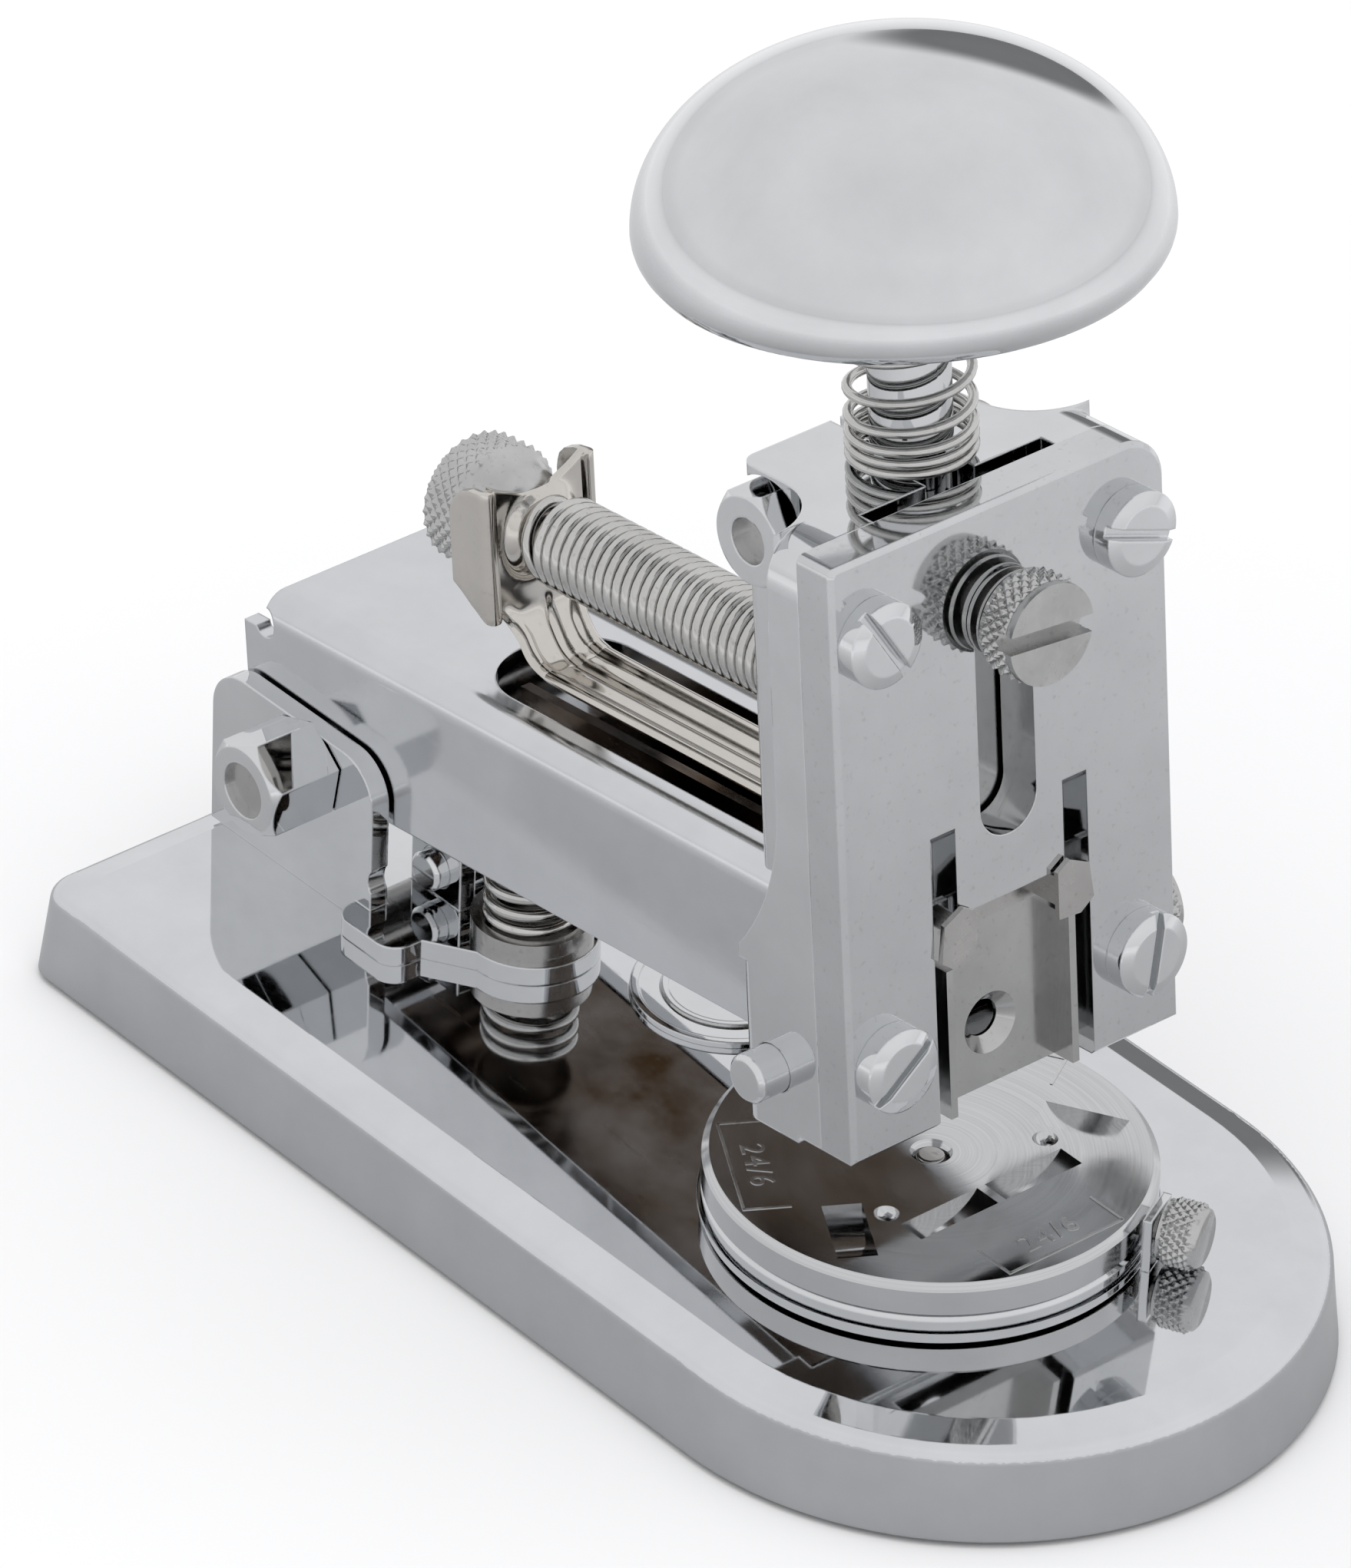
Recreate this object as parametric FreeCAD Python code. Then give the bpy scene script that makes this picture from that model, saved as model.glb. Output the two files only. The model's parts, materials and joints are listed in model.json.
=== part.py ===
import FreeCAD, Part
import math
import os

# Chrome desk stapler with a push knob, in millimetres.
# +X points to the anvil end, +Z is up, and the origin is the middle of the footprint
# at the surface that the pad rests on. The hinge axis runs along Y.
# Pieces of the arm are drawn in the arm's own frame: origin on the hinge axis,
# X along the arm, Z square to it. place() tilts them to the raised rest position.

# ---- base ----
BASE_LENGTH = 117.0
BASE_WIDTH = 60.0
BASE_TOP = 9.6
BASE_DRAFT = 0.9
BASE_EDGE = 1.5
CROWN_Z = 8.6
CROWN_INSET = 4.4
REAR_CORNER = 3.2
PAD_DROP = 0.6
PAD_INSET = 3.0
PAD_THICK = 1.6

# ---- anvil ----
ANVIL_X = 22.9
ANVIL_R = 18.6
SEAT_Z = 8.9
RING_TOP = 11.0
DISC_BOTTOM = 11.3
DISC_TOP = 14.1
RIM_CHAMFER = 0.6
PIVOT_R = 1.25
SINK_R = 1.75
RUN = 0.05
STAPLE_ROW = 4.3
INNER_ROW = 7.4
LOCK_ANGLE = 27.0
LOCK_PIN_Z = 12.7
LOCK_PIN_R = 1.1
LOCK_TIP = 18.9
LOCK_POST_R0 = 19.2
LOCK_POST_R1 = 20.0
LOCK_KNOB_R0 = 20.3
LOCK_KNOB_R1 = 23.9
LOCK_KNOB_R = 2.8

# ---- hinge bracket ----
HINGE_X = -43.0
HINGE_Z = 21.75
EAR_IN = 10.3
EAR_OUT = 12.1
EAR_X0 = -55.7
EAR_X1 = -34.4
EAR_TOP = 25.2
EAR_ROUND = 4.0
FLOOR_THICK = 1.8
TONGUE_X1 = -28.5
TONGUE_HALF = 14.6
BOLT_R = 2.5
HEX_FLATS = 8.0
CROSS_X = -33.0
CROSS_Z = 14.2
CROSS_R = 1.8
CROSS_HALF = 7.6
LUG_IN = 4.6
LUG_OUT = 6.2

# ---- lift spring and medallion ----
LIFT_X = -24.2
LIFT_Y = -3.0
LIFT_R = 3.7
LIFT_WIRE = 1.1
LIFT_TURNS = 5.0
LIFT_TOP = 19.7
CUP_R = 5.2
CUP_THICK = 0.8
MEDAL_X = -9.2
MEDAL_Y = 6.2
MEDAL_R = 8.5
MEDAL_THICK = 0.7

# ---- arm ----
TILT = 6.6
ARM_HALF = 10.0
ARM_TOP = 12.0
ARM_BOTTOM = -3.4
ARM_REAR = -10.3
ARM_FRONT = 63.6
ARM_WALL = 1.4
ARM_ROUND = 2.4
SLOT_HALF = 6.3
SLOT_START = 14.6
TOP_REAR = -7.6
SIDE_TOP = 8.9

# ---- head ----
PLATE_BACK = 71.7
FACE = 75.7
HEAD_HALF = 17.3
HEAD_TOP = 48.4
HEAD_BOTTOM = -4.9
WING_BACK = 67.9
STEM_BACK = 56.2
STEM_HALF = 10.0
LOWER_BACK = 61.9
SCALLOP_R = 6.4
CHANNEL_BACK = 70.0
BLADE_HALF = 6.4
CARRIER_HALF = 9.1
TOP_ROUND = 4.2
GROOVE_IN = 5.6
GROOVE_OUT = 8.2
GROOVE_TOP = 21.3
MOUTH_TOP = 13.4
SLOT_R = 2.95
SLOT_LOW = 21.7
SLOT_HIGH = 39.6
SCREW_Y = 13.25
SCREW_HIGH = 41.1
SCREW_LOW = 3.0
SCREW_HEAD_R = 3.6
SCREW_HEAD = 2.1
CLAMP_A = 59.6
CLAMP_B = 43.2
CLAMP_SEAT = 7.2
LOCK_A = 66.1
LOCK_B = 0.3
LOCK_R = 2.1

# ---- plunger ----
PLUNGER_A = 65.5
SHAFT_R = 3.35
SHAFT_LOW = 39.9
BORE_LOW = 26.5
KNOB_R = 21.3
KNOB_RIM = 69.0
KNOB_RISE = 14.2
KNOB_LIP = 2.4
KNOB_SEAT = 66.2
COLLAR_R = 5.6
THUMB_B = 38.7
THUMB_R = 4.6
PLUNGER_WIRE = 0.9
PLUNGER_COIL_R = 5.0
PLUNGER_TURNS = 5.5
CARRIER_LOW = 32.2
CARRIER_HIGH = 45.4

# ---- pusher ----
ROD_B = 24.2
ROD_R = 1.9
ROD_FRONT = 69.0
KNOB_A0 = 8.4
KNOB_A1 = 13.0
ROD_KNOB_R = 5.7
PLATE_A = 17.0
SHEET = 0.8
WING_Y = 5.8
WING_A = 13.4
STRIP_HALF = 3.5
COIL_R = 3.5
COIL_WIRE = 1.0
COIL_PITCH = 1.18
COIL_START = 20.4
COIL_END = 55.9


def vec(x, y, z):
    return FreeCAD.Vector(x, y, z)


def box(x0, x1, y0, y1, z0, z1):
    return Part.makeBox(x1 - x0, y1 - y0, z1 - z0, vec(x0, y0, z0))


def rod(radius, start, end):
    """A cylinder between two points."""
    axis = end.sub(start)
    return Part.makeCylinder(radius, axis.Length, start, axis)


def rod_y(radius, x, z, y0, y1):
    return rod(radius, vec(x, y0, z), vec(x, y1, z))


def hexagon_y(flats, x, z, y0, y1, turn=0.0):
    """A hexagonal prism along Y."""
    corner = flats / math.sqrt(3.0)
    points = []
    for i in range(7):
        angle = math.radians(60.0 * i + turn)
        points.append(vec(x + corner * math.cos(angle), y0, z + corner * math.sin(angle)))
    return Part.Face(Part.makePolygon(points)).extrude(vec(0, y1 - y0, 0))


def prism_y(points, y0, y1):
    """A closed outline in the XZ plane, extruded along Y."""
    wire = Part.makePolygon([vec(x, y0, z) for x, z in points + points[:1]])
    return Part.Face(wire).extrude(vec(0, y1 - y0, 0))


def prism_z(points, z0, z1):
    """A closed outline in the XY plane, extruded along Z."""
    wire = Part.makePolygon([vec(x, y, z0) for x, y in points + points[:1]])
    return Part.Face(wire).extrude(vec(0, 0, z1 - z0))


def edges_along(shape, direction, test):
    """The straight edges along a direction whose middle passes a test."""
    found = []
    for edge in shape.Edges:
        if not isinstance(edge.Curve, Part.Line):
            continue
        tangent = edge.tangentAt(edge.FirstParameter)
        middle = edge.CenterOfMass
        if abs(tangent.dot(direction)) > 0.99 and test(middle):
            found.append(edge)
    return found


def place(shape):
    """Moves a shape from the arm's frame to its rest position."""
    moved = shape.copy()
    moved.rotate(vec(0, 0, 0), vec(0, 1, 0), -TILT)
    moved.translate(vec(HINGE_X, 0, HINGE_Z))
    return moved


def coil(radius, wire, height, turns):
    """A round wire helix along +Z from the origin, its section drawn as four arcs."""
    helix = Part.makeHelix(height / turns, height, radius)
    arcs = []
    for quarter in range(4):
        spots = []
        for share in (0.0, 0.5, 1.0):
            angle = math.pi / 2.0 * (quarter + share)
            spots.append(vec(radius + wire / 2.0 * math.cos(angle), 0, wire / 2.0 * math.sin(angle)))
        arcs.append(Part.Arc(*spots).toShape())
    return Part.Wire(helix.Edges).makePipeShell([Part.Wire(arcs)], True, True)


# ---- base pieces ----

def stadium(inset, z):
    """The base outline: straight rear with rounded corners and a semicircular front."""
    half = BASE_WIDTH / 2.0 - inset
    front = BASE_LENGTH / 2.0 - BASE_WIDTH / 2.0
    rear = -BASE_LENGTH / 2.0 + inset
    corner = max(REAR_CORNER - inset * 0.4, 1.2)
    diagonal = corner * (1.0 - math.sqrt(0.5))
    tip = vec(front + half, 0, z)
    edges = [
        Part.LineSegment(vec(rear + corner, -half, z), vec(front, -half, z)).toShape(),
        Part.Arc(vec(front, -half, z), tip, vec(front, half, z)).toShape(),
        Part.LineSegment(vec(front, half, z), vec(rear + corner, half, z)).toShape(),
        Part.Arc(vec(rear + corner, half, z), vec(rear + diagonal, half - diagonal, z),
                 vec(rear, half - corner, z)).toShape(),
        Part.LineSegment(vec(rear, half - corner, z), vec(rear, corner - half, z)).toShape(),
        Part.Arc(vec(rear, corner - half, z), vec(rear + diagonal, diagonal - half, z),
                 vec(rear + corner, -half, z)).toShape(),
    ]
    return Part.Wire(edges)


def bracket_screw_spots():
    return [(-50.0, 0.0), (-36.5, 0.0)]


def lock_pin_frame(shape):
    """Turns a shape drawn along +X from the disc's axis to the clamp screw's direction."""
    moved = shape.copy()
    moved.rotate(vec(0, 0, 0), vec(0, 0, 1), LOCK_ANGLE)
    moved.translate(vec(ANVIL_X, 0, 0))
    return moved


def make_base_plate():
    """A drafted side wall, a rounded shoulder and a shallow slope up to the flat top."""
    wall = Part.makeLoft([stadium(0.0, PAD_DROP), stadium(BASE_DRAFT, CROWN_Z)], True, True)
    crown = Part.makeLoft([stadium(BASE_DRAFT, CROWN_Z), stadium(CROWN_INSET, BASE_TOP)], True, True)
    body = wall.fuse(crown).removeSplitter()
    shoulder = [e for e in body.Edges if abs(e.BoundBox.ZMin - CROWN_Z) < 0.01
                and abs(e.BoundBox.ZMax - CROWN_Z) < 0.01]
    body = body.makeFillet(BASE_EDGE, shoulder)
    recess = Part.Face(stadium(PAD_INSET, 0.0)).extrude(vec(0, 0, PAD_THICK))
    seat = Part.makeCylinder(ANVIL_R + 0.25, BASE_TOP, vec(ANVIL_X, 0, SEAT_Z))
    bore = Part.makeCylinder(PIVOT_R, BASE_TOP, vec(ANVIL_X, 0, 4.0))
    medal = Part.makeCylinder(MEDAL_R, BASE_TOP, vec(MEDAL_X, MEDAL_Y, BASE_TOP - MEDAL_THICK / 2.0))
    body = body.cut(recess).cut(seat).cut(bore).cut(medal)
    for x, y in bracket_screw_spots():
        body = body.cut(Part.makeCylinder(1.5, 6.0, vec(x, y, BASE_TOP - 5.0)))
    return body


def make_base_pad():
    return Part.Face(stadium(PAD_INSET + 0.1, 0.0)).extrude(vec(0, 0, PAD_THICK))


def make_medallion():
    """A plain round ornament with two raised rings."""
    z0 = BASE_TOP - MEDAL_THICK / 2.0
    disc = Part.makeCylinder(MEDAL_R, MEDAL_THICK, vec(MEDAL_X, MEDAL_Y, z0))
    for outer, inner in ((MEDAL_R, MEDAL_R - 0.7), (MEDAL_R - 2.6, MEDAL_R - 3.2)):
        ring = Part.makeCylinder(outer, 0.25, vec(MEDAL_X, MEDAL_Y, z0 + MEDAL_THICK))
        ring = ring.cut(Part.makeCylinder(inner, 0.25, vec(MEDAL_X, MEDAL_Y, z0 + MEDAL_THICK)))
        disc = disc.fuse(ring)
    return disc.removeSplitter()


def make_anvil_ring():
    ring = Part.makeCylinder(ANVIL_R, RING_TOP - SEAT_Z, vec(ANVIL_X, 0, SEAT_Z))
    ring = ring.cut(Part.makeCylinder(PIVOT_R, RING_TOP, vec(ANVIL_X, 0, SEAT_Z)))
    top = [e for e in ring.Edges if abs(e.BoundBox.ZMin - RING_TOP) < 0.01
           and e.BoundBox.XLength > ANVIL_R]
    return ring.makeChamfer(0.35, top)


def make_anvil_pivot():
    """A riveted pivot whose rounded end lies in a small countersink of the disc."""
    stem = Part.makeCylinder(PIVOT_R, DISC_TOP - 0.25 - 4.0, vec(ANVIL_X, 0, 4.0))
    top = [e for e in stem.Edges if abs(e.BoundBox.ZMin - (DISC_TOP - 0.25)) < 0.01]
    return stem.makeFillet(0.3, top)


def pocket(x, y, turn, length, width, depth):
    """A round-bottomed staple pocket: the tool is a lying cylinder, clipped to its width."""
    radius = (length * length / 4.0 + depth * depth) / (2.0 * depth)
    tool = rod_y(radius, 0, radius - depth, -width / 2.0, width / 2.0)
    tool.rotate(vec(0, 0, 0), vec(0, 0, 1), turn)
    tool.translate(vec(x, y, DISC_TOP))
    return tool


def make_anvil_disc():
    disc = Part.makeCylinder(ANVIL_R, DISC_TOP - DISC_BOTTOM, vec(ANVIL_X, 0, DISC_BOTTOM))
    top = [e for e in disc.Edges if abs(e.BoundBox.ZMin - DISC_TOP) < 0.01
           and e.BoundBox.XLength > ANVIL_R]
    disc = disc.makeChamfer(RIM_CHAMFER, top)
    disc = disc.cut(Part.makeCylinder(PIVOT_R + RUN, 9.0, vec(ANVIL_X, 0, DISC_BOTTOM - 1.0)))
    sink = Part.makeCone(PIVOT_R + RUN, SINK_R, 0.6, vec(ANVIL_X, 0, DISC_TOP - 0.6))
    disc = disc.cut(sink)
    row = ANVIL_X + STAPLE_ROW
    for side in (-1, 1):
        disc = disc.cut(pocket(ANVIL_X + INNER_ROW, side * 4.5, 90.0, 8.2, 2.6, 1.0))
        disc = disc.cut(pocket(row, side * 12.4, side * 30.0, 7.2, 3.3, 1.1))
        disc = disc.cut(Part.makeSphere(1.1, vec(row, side * 8.5, DISC_TOP + 0.3)))
    return disc


def make_disc_lock_post():
    """The small upright plate on the base that holds the disc's clamp screw."""
    post = box(LOCK_POST_R0, LOCK_POST_R1, -2.2, 2.2, BASE_TOP, LOCK_PIN_Z + 1.9)
    post = post.cut(rod(LOCK_PIN_R + RUN, vec(10, 0, LOCK_PIN_Z), vec(30, 0, LOCK_PIN_Z)))
    return lock_pin_frame(post)


def make_disc_lock_pin():
    """The clamp screw's stem, whose tip stands close to the disc's rim."""
    return lock_pin_frame(rod(LOCK_PIN_R, vec(LOCK_TIP, 0, LOCK_PIN_Z), vec(LOCK_KNOB_R0, 0, LOCK_PIN_Z)))


def make_disc_lock_knob():
    knob = rod(LOCK_KNOB_R, vec(LOCK_KNOB_R0, 0, LOCK_PIN_Z), vec(LOCK_KNOB_R1, 0, LOCK_PIN_Z))
    knob = knob.makeChamfer(0.4, [e for e in knob.Edges if isinstance(e.Curve, Part.Circle)])
    return lock_pin_frame(knob)


# ---- hinge bracket and lift spring ----

def make_hinge_bracket():
    floor = box(EAR_X0, TONGUE_X1, -EAR_OUT, EAR_OUT, BASE_TOP, BASE_TOP + FLOOR_THICK)
    tongue = box(EAR_X1 - 2.0, TONGUE_X1, -TONGUE_HALF, TONGUE_HALF, BASE_TOP, BASE_TOP + FLOOR_THICK)
    tongue = tongue.makeFillet(2.0, edges_along(tongue, vec(0, 0, 1), lambda p: True))
    nose = Part.makeCylinder(CUP_R + 0.6, FLOOR_THICK, vec(LIFT_X, LIFT_Y, BASE_TOP))
    neck = prism_z([(TONGUE_X1 - 2.0, -TONGUE_HALF + 2.0), (LIFT_X, LIFT_Y - CUP_R - 0.5),
                    (LIFT_X, LIFT_Y + CUP_R + 0.5), (TONGUE_X1 - 2.0, TONGUE_HALF - 4.0)],
                   BASE_TOP, BASE_TOP + FLOOR_THICK)
    body = floor.fuse(tongue).fuse(neck).fuse(nose)
    for side in (-1, 1):
        y0, y1 = sorted((side * EAR_IN, side * EAR_OUT))
        ear = box(EAR_X0, EAR_X1, y0, y1, BASE_TOP + 0.5, EAR_TOP)
        ear = ear.makeFillet(EAR_ROUND, edges_along(ear, vec(0, 1, 0), lambda p: p.z > EAR_TOP - 1))
        body = body.fuse(ear)
        y0, y1 = sorted((side * LUG_IN, side * LUG_OUT))
        lug = box(CROSS_X - 3.2, CROSS_X + 3.2, y0, y1, BASE_TOP + 0.5, CROSS_Z + 2.2)
        body = body.fuse(lug)
    body = body.removeSplitter()
    body = body.cut(rod_y(BOLT_R, HINGE_X, HINGE_Z, -20, 20))
    body = body.cut(rod_y(CROSS_R, CROSS_X, CROSS_Z, -20, 20))
    for x, y in bracket_screw_spots():
        body = body.cut(Part.makeCylinder(1.5, 9.0, vec(x, y, BASE_TOP - 1.0)))
        body = body.cut(Part.makeCone(1.5, 3.0, 1.3, vec(x, y, BASE_TOP + FLOOR_THICK - 1.3)))
    return body


def make_bracket_screws():
    screws = []
    for x, y in bracket_screw_spots():
        top = BASE_TOP + FLOOR_THICK
        head = Part.makeCone(1.5, 2.9, 1.3, vec(x, y, top - 1.3))
        stem = Part.makeCylinder(1.5, 5.4, vec(x, y, top - 6.5))
        slot = box(x - 3, x + 3, y - 0.35, y + 0.35, top - 0.6, top + 1)
        screws.append(stem.fuse(head).cut(slot).removeSplitter())
    return Part.makeCompound(screws)


def make_hinge_bolt():
    stem = rod_y(BOLT_R, HINGE_X, HINGE_Z, -EAR_OUT - 6.3, EAR_OUT)
    head = hexagon_y(HEX_FLATS, HINGE_X, HINGE_Z, EAR_OUT, EAR_OUT + 3.4, 10.0)
    return stem.fuse(head).removeSplitter()


def make_hinge_nut():
    nut = hexagon_y(HEX_FLATS, HINGE_X, HINGE_Z, -EAR_OUT - 6.9, -EAR_OUT, 20.0)
    corner = HEX_FLATS / math.sqrt(3.0)
    start = vec(HINGE_X, -EAR_OUT - 0.15, HINGE_Z)
    cone = Part.makeCone(corner + 6.0, corner - 0.75, 6.75, start, vec(0, -1, 0))
    nut = nut.common(cone)
    return nut.cut(rod_y(BOLT_R, HINGE_X, HINGE_Z, -25, 0))


def make_cross_pin():
    pin = rod_y(CROSS_R, CROSS_X, CROSS_Z, -CROSS_HALF, CROSS_HALF)
    ends = [e for e in pin.Edges if isinstance(e.Curve, Part.Circle)]
    return pin.makeChamfer(0.3, ends)


def make_spring_cup():
    floor = BASE_TOP + FLOOR_THICK
    cup = Part.makeCylinder(CUP_R, 1.8, vec(LIFT_X, LIFT_Y, floor))
    cup = cup.cut(Part.makeCylinder(CUP_R - CUP_THICK, 1.8, vec(LIFT_X, LIFT_Y, floor + CUP_THICK)))
    return cup


def make_lift_spring():
    base = BASE_TOP + FLOOR_THICK + CUP_THICK
    spring = coil(LIFT_R, LIFT_WIRE, LIFT_TOP - base - LIFT_WIRE, LIFT_TURNS)
    spring.translate(vec(LIFT_X, LIFT_Y, base + LIFT_WIRE / 2.0 + 0.1))
    return spring


# ---- magazine arm, in the arm's frame ----

def sleeve_section(inset, a):
    """The arm's outer or inner section at one station, with rounded top corners."""
    half = ARM_HALF - inset
    top = ARM_TOP - inset
    bottom = ARM_BOTTOM
    r = ARM_ROUND
    d = r * (1.0 - math.sqrt(0.5))
    edges = [
        Part.LineSegment(vec(a, -half, bottom), vec(a, -half, top - r)).toShape(),
        Part.Arc(vec(a, -half, top - r), vec(a, d - half, top - d), vec(a, r - half, top)).toShape(),
        Part.LineSegment(vec(a, r - half, top), vec(a, half - r, top)).toShape(),
        Part.Arc(vec(a, half - r, top), vec(a, half - d, top - d), vec(a, half, top - r)).toShape(),
        Part.LineSegment(vec(a, half, top - r), vec(a, half, bottom)).toShape(),
        Part.LineSegment(vec(a, half, bottom), vec(a, -half, bottom)).toShape(),
    ]
    return Part.Wire(edges)


def make_arm_shell():
    """A folded sleeve: two sides and a slotted top, open below, with a stepped rear end."""
    length = ARM_FRONT - ARM_REAR
    body = Part.Face(sleeve_section(0.0, ARM_REAR)).extrude(vec(length, 0, 0))
    body = body.cut(Part.Face(sleeve_section(ARM_WALL, ARM_REAR - 1)).extrude(vec(length + 2, 0, 0)))
    body = body.cut(box(SLOT_START + SLOT_HALF, 80, -SLOT_HALF, SLOT_HALF, 5, 20))
    body = body.cut(Part.makeCylinder(SLOT_HALF, 15, vec(SLOT_START + SLOT_HALF, 0, 5)))
    body = body.cut(box(ARM_REAR - 1, TOP_REAR, -20, 20, SIDE_TOP, 20))
    notch = rod_y(1.3, TOP_REAR, SIDE_TOP + 0.6, -20, 20)
    body = body.cut(notch)
    return body.cut(rod_y(BOLT_R + RUN, 0, 0, -20, 20))


def make_magazine_rail():
    """A channel between the sleeve's sides, whose two upright edges carry the staples."""
    inner = ARM_HALF - ARM_WALL
    floor = box(8.0, 61.5, -inner, inner, ARM_BOTTOM + 0.2, ARM_BOTTOM + 1.4)
    body = floor
    for side in (-1, 1):
        y0, y1 = sorted((side * 4.6, side * 5.6))
        body = body.fuse(box(8.0, 61.5, y0, y1, ARM_BOTTOM + 1.0, 4.0))
    return body.removeSplitter()


def make_hinge_sleeve():
    inner = ARM_HALF - ARM_WALL
    tube = rod_y(3.3, 0, 0, -inner, inner)
    return tube.cut(rod_y(BOLT_R + RUN, 0, 0, -20, 20))


# ---- head, in the arm's frame ----

def screw_spots():
    return [(y, b) for b in (SCREW_HIGH, SCREW_LOW) for y in (-SCREW_Y, SCREW_Y)]


def rounded_plate(a0, a1, left_round):
    """The head's front outline; the left top corner has its own radius."""
    plate = box(a0, a1, -HEAD_HALF, HEAD_HALF, HEAD_BOTTOM, HEAD_TOP)
    right = edges_along(plate, vec(1, 0, 0), lambda p: p.z > HEAD_TOP - 1 and p.y > 0)
    plate = plate.makeFillet(TOP_ROUND, right)
    left = edges_along(plate, vec(1, 0, 0), lambda p: p.z > HEAD_TOP - 1 and p.y < -HEAD_HALF + 1)
    return plate.makeFillet(left_round, left)


def make_head_block():
    front = rounded_plate(WING_BACK, PLATE_BACK, TOP_ROUND)
    stem = box(STEM_BACK, WING_BACK + 1, -STEM_HALF, STEM_HALF, ARM_TOP + 0.1, HEAD_TOP)
    stem = stem.makeFillet(1.5, edges_along(stem, vec(0, 0, 1), lambda p: p.x < STEM_BACK + 1))
    lower = box(LOWER_BACK, WING_BACK + 1, -HEAD_HALF, HEAD_HALF, HEAD_BOTTOM - 0.6, 9.6)
    lower = lower.makeFillet(2.0, edges_along(lower, vec(0, 0, 1), lambda p: p.x < LOWER_BACK + 1))
    body = front.fuse(stem).fuse(lower)
    # concave corners between stem and wings
    for side in (-1, 1):
        web = box(WING_BACK - SCALLOP_R, WING_BACK, 0, SCALLOP_R, 9.0, HEAD_TOP)
        web = web.cut(Part.makeCylinder(SCALLOP_R, 60, vec(WING_BACK - SCALLOP_R, SCALLOP_R, 5)))
        web.translate(vec(0, STEM_HALF, 0))
        if side < 0:
            web = web.mirror(vec(0, 0, 0), vec(0, 1, 0))
        body = body.fuse(web)
        # concave sweep from the lower block up into the wing
        y0, y1 = sorted((side * STEM_HALF, side * HEAD_HALF))
        reach = WING_BACK - LOWER_BACK
        ramp = box(LOWER_BACK + 0.5, WING_BACK, y0, y1, 9.0, 24.0)
        radius = (15.0 ** 2 + reach ** 2) / (2.0 * reach)
        ramp = ramp.cut(rod_y(radius, WING_BACK - radius, 24.6, -30, 30))
        body = body.fuse(ramp)
    body = body.removeSplitter()
    # tunnel for the arm, and for the pusher strip above it
    inner = box(LOWER_BACK - 10, ARM_FRONT, -ARM_HALF, ARM_HALF, -30, ARM_TOP)
    body = body.cut(inner)
    body = body.cut(box(LOWER_BACK - 10, CHANNEL_BACK + 3, -BLADE_HALF - 0.2, BLADE_HALF + 0.2, -0.2, 10.6))
    body = body.cut(box(STEM_BACK - 1, CHANNEL_BACK, -4.6, 4.6, 10.0, 16.4))
    # channel of the driver, wide above for its carrier
    body = body.cut(box(CHANNEL_BACK, PLATE_BACK, -BLADE_HALF - 0.2, BLADE_HALF + 0.2, -30, 80))
    body = body.cut(box(CHANNEL_BACK, PLATE_BACK, -CARRIER_HALF - 0.3, CARRIER_HALF + 0.3, 17.5, 80))
    # bore of the plunger, opened forwards for the carrier's bridge
    body = body.cut(rod(SHAFT_R + RUN, vec(PLUNGER_A, 0, BORE_LOW), vec(PLUNGER_A, 0, 80)))
    body = body.cut(box(PLUNGER_A, CHANNEL_BACK + 1, -2.5, 2.5, BORE_LOW, 80))
    body = body.cut(box(CHANNEL_BACK - 0.6, CHANNEL_BACK + 1, -2.5, 2.5, 21.0, BORE_LOW + 1))
    body = body.cut(rod(ROD_R + RUN, vec(50, 0, ROD_B), vec(CHANNEL_BACK + 1, 0, ROD_B)))
    # clamp slit, and its bolt
    body = body.cut(box(STEM_BACK - 1, PLUNGER_A - SHAFT_R + 1.0, -0.5, 0.5, 30.0, 80))
    body = body.cut(rod_y(2.0, CLAMP_A, CLAMP_B, -30, 30))
    body = body.cut(rod_y(4.8, CLAMP_A, CLAMP_B, -30, -CLAMP_SEAT))
    body = body.cut(rod_y(4.8, CLAMP_A, CLAMP_B, STEM_HALF, 30))
    body = body.cut(rod_y(LOCK_R + RUN, LOCK_A, LOCK_B, -30, 30))
    for y, b in screw_spots():
        body = body.cut(rod(1.5, vec(PLATE_BACK - 3.0, y, b), vec(PLATE_BACK + 1, y, b)))
    return body


def make_front_plate():
    plate = rounded_plate(PLATE_BACK, FACE, 0.8)
    front = [e for e in plate.Edges if e.BoundBox.XMin > FACE - 0.01]
    plate = plate.makeChamfer(0.4, front)
    slot = rod(SLOT_R, vec(PLATE_BACK - 1, 0, SLOT_LOW), vec(FACE + 1, 0, SLOT_LOW))
    slot = slot.fuse(rod(SLOT_R, vec(PLATE_BACK - 1, 0, SLOT_HIGH), vec(FACE + 1, 0, SLOT_HIGH)))
    slot = slot.fuse(box(PLATE_BACK - 1, FACE + 1, -SLOT_R, SLOT_R, SLOT_LOW, SLOT_HIGH))
    plate = plate.cut(slot)
    plate = plate.cut(box(PLATE_BACK - 1, FACE + 1, -GROOVE_OUT, GROOVE_OUT, -30, MOUTH_TOP))
    for side in (-1, 1):
        y0, y1 = sorted((side * GROOVE_IN, side * GROOVE_OUT))
        outline = [(PLATE_BACK + 1.0, MOUTH_TOP - 1), (FACE + 1, MOUTH_TOP - 1),
                   (FACE + 1, GROOVE_TOP), (FACE, GROOVE_TOP), (PLATE_BACK + 1.0, GROOVE_TOP - 2.5)]
        plate = plate.cut(prism_y(outline, y0, y1))
    for y, b in screw_spots():
        plate = plate.cut(rod(1.5, vec(PLATE_BACK - 1, y, b), vec(FACE + 1, y, b)))
    return plate


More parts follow.
